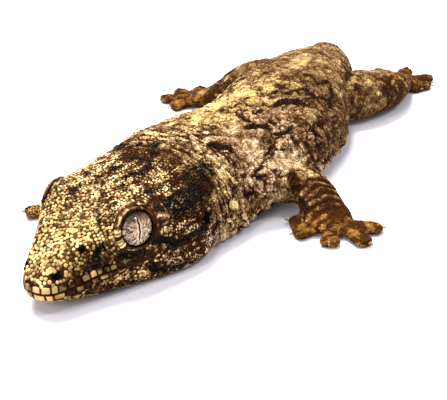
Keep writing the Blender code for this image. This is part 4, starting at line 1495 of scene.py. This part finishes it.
        mapped = add("GeometryNodeStoreNamedAttribute", data_type="FLOAT2", domain="CORNER")
        mapped = feed(mapped, Geometry=real, Name=BAKE_MAP, Value=spot)[0]
        dressed = feed(add("GeometryNodeSetMaterial"), Geometry=mapped, Material=given["Finish"])[0]
        feed(add("NodeGroupOutput"), dressed)
        return tree

    @staticmethod
    def _grow(holder: bpy.types.Object, tree: bpy.types.NodeTree, inputs: dict[str, object]) -> None:
        """Run a tree on an object and keep what it makes as a plain piece.

        Args:
            holder: Object whose mesh the tree starts from.
            tree: The tree.
            inputs: Values of its named inputs.
        """
        named = {item.name: item.identifier for item in tree.interface.items_tree if item.in_out == "INPUT"}
        bpy.context.scene.collection.objects.link(holder)
        layer = holder.modifiers.new("scales", "NODES")
        layer.node_group = tree
        for name, value in inputs.items():
            layer[named[name]] = value
        mesh = settle(holder)
        mesh.name = holder.name
        mesh.materials.clear()
        mesh.materials.append(inputs["Finish"])
        mesh.polygons.foreach_set("material_index", np.zeros(len(mesh.polygons), np.int32))
        rows = coordinates(mesh)
        rows[:, 2] = np.maximum(rows[:, 2], 0.0)
        move_to(mesh, rows)
        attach(holder, "root")

    def rows(
        self, name: str, spots: list[tuple], skin: Skin, markings: Markings, finish: bpy.types.Material
    ) -> None:
        """Scales laid one by one at given places.

        Args:
            name: Name of the piece.
            spots: Place in metres, direction out of the skin and radius in millimetres, for each.
            skin: The skin that they lie on.
            markings: The pattern that they share.
            finish: Their material.
        """
        places = np.array([tuple(spot[0]) for spot in spots])
        mesh = bpy.data.meshes.new(name)
        mesh.from_pydata([tuple(row) for row in places], [], [])
        set_values(mesh, markings.values(on_animal(places)))
        set_values(mesh, {"radius": np.array([spot[2] for spot in spots]) * MM})
        set_vectors(mesh, "out", [tuple(spot[1]) for spot in spots])
        set_vectors(mesh, "root_map", np.pad(skin.map_at(skin.surface(), places), ((0, 0), (0, 1))))
        bead = self._bead(True)
        holder = bpy.data.objects.new(name, mesh)
        self._grow(holder, self._tree(False), {"Bead": bead, "Finish": finish})
        bpy.data.objects.remove(bead)

    def build(self, skin: Skin, coarse: bpy.types.Material, pitted: bpy.types.Material) -> None:
        """All beds of scales, one piece for each.

        Args:
            skin: The skin that they grow on.
            coarse: Material of the body's scales.
            pitted: Material of the head's scales.
        """
        tree = self._tree(True)
        beads = {fine: self._bead(fine) for fine in (False, True)}
        for bed in self.beds:
            holder = bpy.data.objects.new("scales_" + bed.name, skin.made.data)
            inputs = {
                "Spacing": bed.spacing * MM,
                "Width": bed.width,
                "Start": row_at(bed.start),
                "Stop": row_at(bed.stop),
                "Side From": bed.side_from * MM,
                "Side To": bed.side_to * MM,
                "Bead": beads[bed.fine],
                "Finish": pitted if bed.fine else coarse,
            }
            self._grow(holder, tree, inputs)
        for bead in beads.values():
            bpy.data.objects.remove(bead)


@dataclass
class Lids:
    """The raised lids around one eye, and the rows of scales that ring them."""

    eye: Eye
    inner: float = 2.10
    sides: int = 238
    lobes: int = 34
    middle: float = 2.44
    pale_towards: float = math.radians(132.0)
    crest_at: tuple[tuple[float, float], ...] = (
        (0, 0.35), (18, 0.15), (36, 0.45), (60, 0.15), (90, 0.30), (104, 0.80), (150, 0.90), (160, 0.55),
        (168, 0.95), (181, 0.95), (184, 0.0), (190, 0.0), (193, 0.95), (211, 0.95), (214, 0.0), (222, 0.05),
        (228, 0.60), (245, 0.65), (254, 0.15), (272, 0.45), (292, 0.50), (312, 0.10), (345, 0.50),
        (355, 0.50), (360, 0.35),
    )
    inner_at: tuple[tuple[float, float], ...] = (
        (0, 0.05), (160, 0.05), (168, 0.90), (181, 0.95), (184, 0.0), (190, 0.0), (193, 0.9), (211, 0.9),
        (214, 0.0), (360, 0.05),
    )
    gap_at: tuple[tuple[float, float], ...] = (
        (0, 0.5), (90, 0.3), (120, 0.15), (160, 0.3), (170, 0.9), (215, 0.9), (240, 0.5), (360, 0.5),
    )
    profile: tuple[tuple[float, float], ...] = (
        (0.03, -0.45), (0.0, 0.00), (0.03, 0.10), (0.14, 0.17), (0.30, 0.16), (0.46, 0.10),
        (0.60, -0.03), (0.66, -0.30), (0.46, -0.42), (0.22, -0.46),
    )
    wide_at: tuple[tuple[float, float], ...] = (
        (0, 0.38), (50, 0.46), (92, 0.85), (128, 1.35), (150, 1.30), (175, 1.25), (212, 1.25), (240, 0.72),
        (280, 0.44), (360, 0.38),
    )
    ring_step: float = 0.31
    ring_count: int = 6
    bead_pitch: float = 0.31
    calm_over: int = 9
    seen_from: float = 6.0

    def _out(self, angle: float) -> Vector:
        """Direction across the eye: 0 is towards the tail and a quarter turn is up."""
        _, along, up = self.eye.axes()
        return along * (self.eye.sign * math.cos(angle)) + up * math.sin(angle)

    def _width(self, angle: float) -> float:
        """How wide the lids are at an angle, as a share of the profile."""
        return float(np.interp(math.degrees(angle), *np.array(self.wide_at).T))

    def rim(self, surface: BVHTree, markings: Markings, finish: bpy.types.Material) -> None:
        """The lids, scalloped like a row of narrow scales.

        Args:
            surface: The skin that they rise from.
            markings: The pattern that they share.
            finish: Their material.
        """
        look = self.eye.axes()[0]
        rests = []
        for turn in range(self.sides):
            out = self._out(2.0 * math.pi * turn / self.sides)
            start = self.eye.centre + (out * self.middle + look * self.seen_from) * MM
            _, _, _, distance = surface.ray_cast(start, -look)
            rests.append(self.seen_from - distance / MM)
        near = range(-self.calm_over, self.calm_over + 1)
        rests = [sum(rests[(turn + k) % self.sides] for k in near) / len(near) for turn in range(self.sides)]
        rows, lobe, edge, faces = [], [], [], []
        count = len(self.profile)
        for turn in range(self.sides):
            angle = 2.0 * math.pi * turn / self.sides
            hood = max(0.0, math.cos(angle - self.pale_towards)) ** 2
            wave = abs(math.cos(self.lobes * angle / 2.0)) ** 0.6
            out = self._out(angle)
            for ring, (reach, height) in enumerate(self.profile):
                body = 1.0 if 2 <= ring <= 6 else 0.0
                fold = 0.18 if ring > 3 else -0.14
                lift = height + body * (fold * hood - 0.08 * (1.0 - wave))
                spot = out * (self.inner + reach * self._width(angle)) + look * (rests[turn] + lift)
                rows.append(self.eye.centre + spot * MM)
                lobe.append(wave)
                edge.append(1.0 if ring < 2 or ring > 6 else 0.0)
        for turn in range(self.sides):
            after = (turn + 1) % self.sides
            for ring in range(count):
                above = (ring + 1) % count
                a, b = turn * count, after * count
                faces.append((a + ring, b + ring, b + above, a + above))
        made = mesh_object("eyelids_" + self.eye.word, np.array([tuple(r) for r in rows]), faces, finish)
        face_outward(made.data)
        count_around = np.repeat(np.arange(self.sides), count)
        number = np.floor(self.lobes * count_around / self.sides + 0.5).astype(np.int64) % self.lobes
        chance = draws(number, 3, 7, SEED)
        degrees = 360.0 * count_around / self.sides
        ring = np.tile(np.arange(count), self.sides)
        inside = np.interp(degrees, *np.array(self.inner_at).T)
        crest = np.interp(degrees, *np.array(self.crest_at).T)
        crest *= np.where((ring == 5) | (inside > 0.5), 1.0, 0.25)
        pale = np.where(ring > 4, crest, inside)
        gaps = np.interp(degrees, *np.array(self.gap_at).T)
        set_values(made.data, {
            "lobe": 1.0 - gaps * (1.0 - np.array(lobe)),
            "pale": np.clip(pale * (0.66 + 0.5 * chance), 0.0, 1.0),
            "edge": np.array(edge),
            **markings.values(on_animal(coordinates(made.data))),
        })
        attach(made, "root")

    def beads(self, surface: BVHTree) -> list[tuple]:
        """Places of the scales in rings outside the lids.

        Args:
            surface: The skin.

        Returns:
            Place, direction and radius of each.
        """
        look = self.eye.axes()[0]
        found, taken = [], []
        for ring in range(self.ring_count):
            count = int(2.0 * math.pi * (self.inner + 0.9 + self.ring_step * ring) / self.bead_pitch)
            for step in range(count):
                angle = 2.0 * math.pi * (step + 0.5 * (ring % 2)) / count
                wobble = 0.05 * math.sin(3.0 * angle + ring) + 0.04 * math.sin(7.0 * angle + 2.0 * ring)
                out = self._out(angle)
                foot = self.inner + 0.66 * self._width(angle) + 0.17
                reach = foot + self.ring_step * ring
                start = self.eye.centre + (out * (reach + wobble) + look * self.seen_from) * MM
                spot, facing, _, distance = surface.ray_cast(start, -look)
                if spot is None or distance > 7.0 * MM or facing.dot(look) < 0.4:
                    down = look * (1.15 - self.ring_step * ring)
                    start = self.eye.centre + (out * (foot + wobble) + down) * MM
                    spot, facing, _, distance = surface.find_nearest(start)
                    if distance > 1.2 * MM or facing.dot(out) < 0.2:
                        continue
                if any((spot - other).length < 0.8 * self.bead_pitch * MM for other in taken):
                    continue
                taken.append(spot)
                found.append((spot, facing, 0.72 * self.bead_pitch))
        return found


@dataclass
class Lips:
    """The plates along both lips."""

    line: tuple[tuple[float, float], ...] = (
        (-2.0, 2.90), (0.4, 3.00), (1.2, 3.00), (2.5, 3.12), (3.9, 3.32), (6.0, 3.58),
        (8.6, 3.75), (10.0, 4.00), (11.3, 4.32), (13.3, 4.85), (15.2, 5.20), (17.2, 5.40),
    )
    upper_count: int = 18
    lower_count: int = 15
    shrink: float = 0.60
    high_edge: float = 1.10
    low_edge: float = -0.86
    thick: float = 0.20
    gap: float = 0.09
    grid: int = 7
    end_back: float = 13.0
    turn_side: float = 0.62
    turn_back: float = 3.4
    turn_end: float = 12.0
    seen_from: float = 20.0

    def mouth(self, back: np.ndarray | float) -> np.ndarray | float:
        """Height of the mouth at a distance back."""
        return np.interp(back, *np.array(self.line).T)

    def _path(self, sign: float) -> list[tuple[Vector, Vector]]:
        """Directions from inside the head that meet the mouth from the snout's tip to the corner.

        Args:
            sign: 1 for the left side, -1 for the right.

        Returns:
            Pairs of a centre inside the head and a level direction.
        """
        pairs = []
        for step in range(31):
            angle = math.radians(90.0 * step / 30.0)
            heading = Vector((sign * math.sin(angle), -math.cos(angle), 0.0))
            pairs.append((Vector((self.turn_side, self.turn_back, 0.0)), heading))
        for step in range(1, 61):
            back = self.turn_back + (self.end_back - self.turn_back) * step / 60.0
            side = self.turn_side * max(0.0, 1.0 - back / self.turn_end)
            pairs.append((Vector((side, back, 0.0)), Vector((sign, 0.0, 0.0))))
        return pairs

    def _hit(self, surface: BVHTree, pair: tuple[Vector, Vector], rise: float) -> tuple[Vector, Vector]:
        """Where a direction leaves the skin, a rise above the mouth.

        Args:
            surface: The skin.
            pair: A centre and a direction.
            rise: Height above the line of the mouth.

        Returns:
            The place in metres and the skin's direction there.
        """
        centre, direction = pair
        back = centre.y + direction.y * 3.0
        height = self.mouth(back) + rise
        start = place(centre.x, centre.y, height) + direction * self.seen_from * MM
        spot, out, _, _ = surface.ray_cast(start, -direction)
        return (start, direction) if spot is None else (spot, out)

    def build(self, skin: Skin, markings: Markings, finish: bpy.types.Material) -> None:
        """The plates of the upper and the lower lip, one piece for each.

        Args:
            skin: The skin that they lie on.
            markings: The pattern that they share.
            finish: Their material.
        """
        surface = skin.surface()
        for name, count, rise, tall in (
            ("upper_lip_plates", self.upper_count, self.gap, self.high_edge),
            ("lower_lip_plates", self.lower_count, -self.gap, self.low_edge),
        ):
            rows, faces, local = [], [], []
            for sign in (1.0, -1.0):
                pairs = self._path(sign)
                spots = [self._hit(surface, pair, rise)[0] for pair in pairs]
                run = [0.0]
                for before, after in zip(spots, spots[1:]):
                    run.append(run[-1] + (after - before).length)
                total = run[-1]
                order = np.arange(count + 1) + (7 if tall > 0.0 else 31)
                chance = draws(order, 3, 13, SEED + 30) - 0.5
                steps = [i + (0.34 * chance[i] if 0 < i < count else 0.0) for i in range(count + 1)]
                edges = [total * (step / count) ** 0.9 for step in steps]
                for first, last, vary in zip(edges, edges[1:], chance):
                    high = tall * (1.0 - self.shrink * (first / total)) * (1.0 + 0.26 * vary)
                    self._plate(surface, pairs, run, (first, last), (rise, high), (rows, faces, local))
            made = mesh_object(name, np.array([tuple(r) for r in rows]), faces, finish)
            corners_at = on_animal(coordinates(made.data))
            masks = markings.values(corners_at)
            masks["shade"] = masks["shade"] + 0.24 * smooth(corners_at[:, 1], 6.0, 10.5)
            set_values(made.data, masks)
            set_vectors(made.data, "local", local)
            number = np.arange(len(rows)) // (self.grid * self.grid + 1)
            set_values(made.data, {"tone": draws(number, 5, 11, SEED)})
            roots = [rows[k] for k in range(0, len(rows), self.grid * self.grid + 1)]
            flat = skin.map_at(surface, roots)[number] + np.array(local)[:, :2] * Scales.patch / 2.0 * MM
            corners = np.empty(len(made.data.loops), np.int64)
            made.data.loops.foreach_get("vertex_index", corners)
            layer = made.data.uv_layers.new(name=BAKE_MAP)
            layer.uv.foreach_set("vector", flat[corners].astype(np.float32).ravel())
            face_outward(made.data)
            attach(made, "root")

    def _plate(
        self, surface: BVHTree, pairs: list, run: list[float], ends: tuple, heights: tuple, into: tuple
    ) -> None:
        """Add one rounded plate to the lists.

        Args:
            surface: The skin.
            pairs: Directions along the mouth.
            run: Distance along the mouth of each.
            ends: Where the plate starts and ends along the mouth, in metres.
            heights: The edge at the mouth and the far edge, in millimetres above the mouth.
            into: Lists of places, faces and own places that it is added to.
        """
        rows, faces, local = into
        base = len(rows)
        n = self.grid
        keys = np.arange(len(pairs))
        for i in range(n):
            u = -1.0 + 2.0 * i / (n - 1)
            along = ends[0] + (ends[1] - ends[0]) * (0.5 + 0.47 * u)
            at = float(np.interp(along, run, keys))
            low = min(int(at), len(pairs) - 2)
            share = at - low
            centre = pairs[low][0].lerp(pairs[low + 1][0], share)
            direction = pairs[low][1].lerp(pairs[low + 1][1], share).normalized()
            for j in range(n):
                v = -1.0 + 2.0 * j / (n - 1)
                corner = max(0.0, abs(u) + v - 0.95) * 0.42
                rise = heights[0] + (heights[1] - heights[0]) * (0.5 + 0.5 * v * (1.0 - corner))
                spot, out = self._hit(surface, (centre, direction), rise)
                crown = (1.0 - max(abs(u), abs(v)) ** 5) * self.thick - 0.06
                rows.append(spot + out * crown * MM)
                local.append((u, v, 0.0))
        under = len(rows)
        middle = sum((rows[base + k] for k in range(n * n)), Vector()) / (n * n)
        rows.append(middle - out * 0.25 * MM)
        local.append((1.0, 1.0, 0.0))
        for i in range(n - 1):
            for j in range(n - 1):
                a = base + i * n + j
                faces.append((a, a + 1, a + n + 1, a + n))
        border = [base + j for j in range(n)]
        border += [base + i * n + n - 1 for i in range(1, n)]
        border += [base + (n - 1) * n + j for j in reversed(range(n - 1))]
        border += [base + i * n for i in reversed(range(1, n - 1))]
        for k, first in enumerate(border):
            faces.append((first, under, border[(k + 1) % len(border)]))


@dataclass(frozen=True)
class Lamp:
    """A square light that points at the animal: place and width in metres, power in watts."""

    name: str
    spot: tuple[float, float, float]
    size: float
    power: float
    colour: tuple[float, float, float] = (1.0, 1.0, 1.0)


@dataclass
class Studio:
    """The floor, the light and the camera."""

    lamps: tuple[Lamp, ...] = (
        Lamp("key", (-0.17, 0.04, 0.47), 0.20, 6.6, (1.0, 0.97, 0.92)),
        Lamp("front", (0.02, -0.45, 0.30), 0.25, 1.4, (1.0, 0.98, 0.95)),
        Lamp("glint", (0.023, -0.181, 0.434), 0.06, 0.7),
        Lamp("glint_side", (0.243, 0.012, 0.385), 0.06, 0.7),
    )
    room: tuple[float, float, float, float] = (0.93, 0.92, 1.0, 1.0)
    room_light: float = 0.78
    floor: tuple[float, float, float, float] = (0.56, 0.545, 0.585, 1.0)
    floor_reach: float = 3.0
    floor_gap: float = 0.02
    camera_at: tuple[float, float, float] = (59.97, -49.30, 54.04)
    yaw: float = -0.6082
    pitch: float = 0.494
    roll: float = 0.012
    lens: float = 67.9
    sensor: float = 36.0

    def build(self) -> None:
        """Make all three."""
        self._floor()
        self._lights()
        self._camera()

    def _floor(self) -> None:
        """A plain pale floor."""
        made, weave, shader = new_material("studio_floor")
        weave.feed(shader, Base_Color=self.floor, Roughness=0.9)
        corners = np.array([(-1.0, -1.0, 0.0), (1.0, -1.0, 0.0), (1.0, 1.0, 0.0), (-1.0, 1.0, 0.0)])
        floor = mesh_object("studio_floor", corners * self.floor_reach, [(0, 1, 2, 3)], made)
        floor.location.z = -self.floor_gap * MM

    def _lights(self) -> None:
        """A large soft light from behind on the left of the picture, a fill and a bright room."""
        for lamp in self.lamps:
            light = bpy.data.lights.new(lamp.name, "AREA")
            light.size = lamp.size
            light.energy = lamp.power
            light.color = lamp.colour
            made = bpy.data.objects.new(lamp.name, light)
            made.location = lamp.spot
            made.rotation_euler = (-Vector(lamp.spot)).to_track_quat("-Z", "Y").to_euler()
            bpy.context.scene.collection.objects.link(made)
        world = bpy.data.worlds.new("studio")
        world.use_nodes = True
        ground = world.node_tree.nodes["Background"]
        ground.inputs["Color"].default_value = self.room
        ground.inputs["Strength"].default_value = self.room_light
        bpy.context.scene.world = world

    def _camera(self) -> None:
        """The camera at the photograph's place."""
        sine, cosine = math.sin(self.yaw), math.cos(self.yaw)
        ahead = Vector((sine * math.cos(self.pitch), cosine * math.cos(self.pitch), -math.sin(self.pitch)))
        right = Vector((cosine, -sine, 0.0))
        down = ahead.cross(right)
        across = right * math.cos(self.roll) + down * math.sin(self.roll)
        under = down * math.cos(self.roll) - right * math.sin(self.roll)
        lens = bpy.data.cameras.new("camera")
        lens.lens = self.lens
        lens.sensor_width = self.sensor
        lens.clip_start = 0.001
        camera = bpy.data.objects.new("camera", lens)
        turn = Matrix((across, -under, -ahead)).transposed().to_4x4()
        camera.matrix_world = Matrix.Translation(place(*self.camera_at)) @ turn
        bpy.context.scene.collection.objects.link(camera)
        bpy.context.scene.camera = camera


@dataclass
class Room:
    """How much room each place of the skin has for scattered scales."""

    lid_reach: float = 2.5
    lid_base: float = 0.2
    row_gap: float = 0.30
    lip_edge: float = 0.1
    lip_start: float = -3.0
    lip_side: float = 10.0
    sole: float = 0.03

    def store(self, skin: Skin, eyes: tuple[Eye, ...], laid: list[tuple], dents: tuple, lips: Lips) -> None:
        """Store it on the skin.

        Args:
            skin: The skin.
            eyes: The eyes, whose lids take the place of scales.
            laid: The scales that are laid in rows round the eyes.
            dents: The openings in the skin.
            lips: The plates of the lips, which take the place of scales.
        """
        mesh = skin.made.data
        rows = coordinates(mesh)
        taken = rows[:, 2] <= self.sole * MM
        for eye in eyes:
            look = np.array(eye.axes()[0])
            offset = (rows - np.array(eye.centre)) / MM
            height = offset @ look
            apart = np.linalg.norm(offset - height[:, None] * look, axis=1)
            taken |= (apart < self.lid_reach) & (height > self.lid_base)
        tree = KDTree(len(laid))
        for index, scale in enumerate(laid):
            tree.insert(scale[0], index)
        tree.balance()
        taken |= np.array([tree.find(Vector(row))[2] for row in rows]) < self.row_gap * MM
        spots = on_animal(rows)
        for dent in dents:
            taken |= dent.apart(spots) < dent.radius + DENT_EDGE
        side, back, height = spots.T
        above = height - lips.mouth(back)
        share = (back - self.lip_start) / (lips.end_back - self.lip_start)
        tall = 1.0 - lips.shrink * np.clip(share, 0.0, 1.0)
        near = (above > (lips.low_edge - self.lip_edge) * tall) & (back < lips.end_back)
        taken |= near & (above < (lips.high_edge + self.lip_edge) * tall) & (np.abs(side) < self.lip_side)
        set_values(mesh, {"room": 1.0 - taken})


def main() -> None:
    """Build every piece in order and report each."""
    logging.basicConfig(level=logging.INFO)
    finish = ReptileFinish()
    markings = Markings()
    skin = Skin()
    skin.build(markings, finish.skin())
    eyes = (Eye(1.0), Eye(-1.0))
    for eye in eyes:
        eye.build(EyeFinish().material("iris_" + eye.word, eye.sign))
    lips = Lips()
    surface = skin.surface()
    rows_laid = {eye.word: Lids(eye).beads(surface) for eye in eyes}
    Room().store(skin, eyes, rows_laid["left"] + rows_laid["right"], markings.dents, lips)
    head_scales = finish.scales("head_scales", 0.26, 0.48, 0.96, False)
    scales = Scales()
    scales.build(skin, finish.scales("body_scales", 0.03, 0.10, 0.14, True), head_scales)
    lips.build(skin, markings, finish.plates())
    lid_finish = finish.lids()
    for eye in eyes:
        Lids(eye).rim(surface, markings, lid_finish)
        scales.rows("scales_round_eye_" + eye.word, rows_laid[eye.word], skin, markings, head_scales)
    horn = ClawFinish().material()
    for foot in FEET:
        Claws().build(foot, horn)
    for made in bpy.context.scene.objects:
        if made.type == "MESH" and made.name not in frame["nodes"]:
            corners = [len(face.vertices) for face in made.data.polygons]
            LOG.info("%s: %d triangles", made.name, sum(corners) - 2 * len(corners))
    bpy.context.scene.view_settings.view_transform = "Standard"
    Studio().build()


if __name__ == "__main__":
    main()
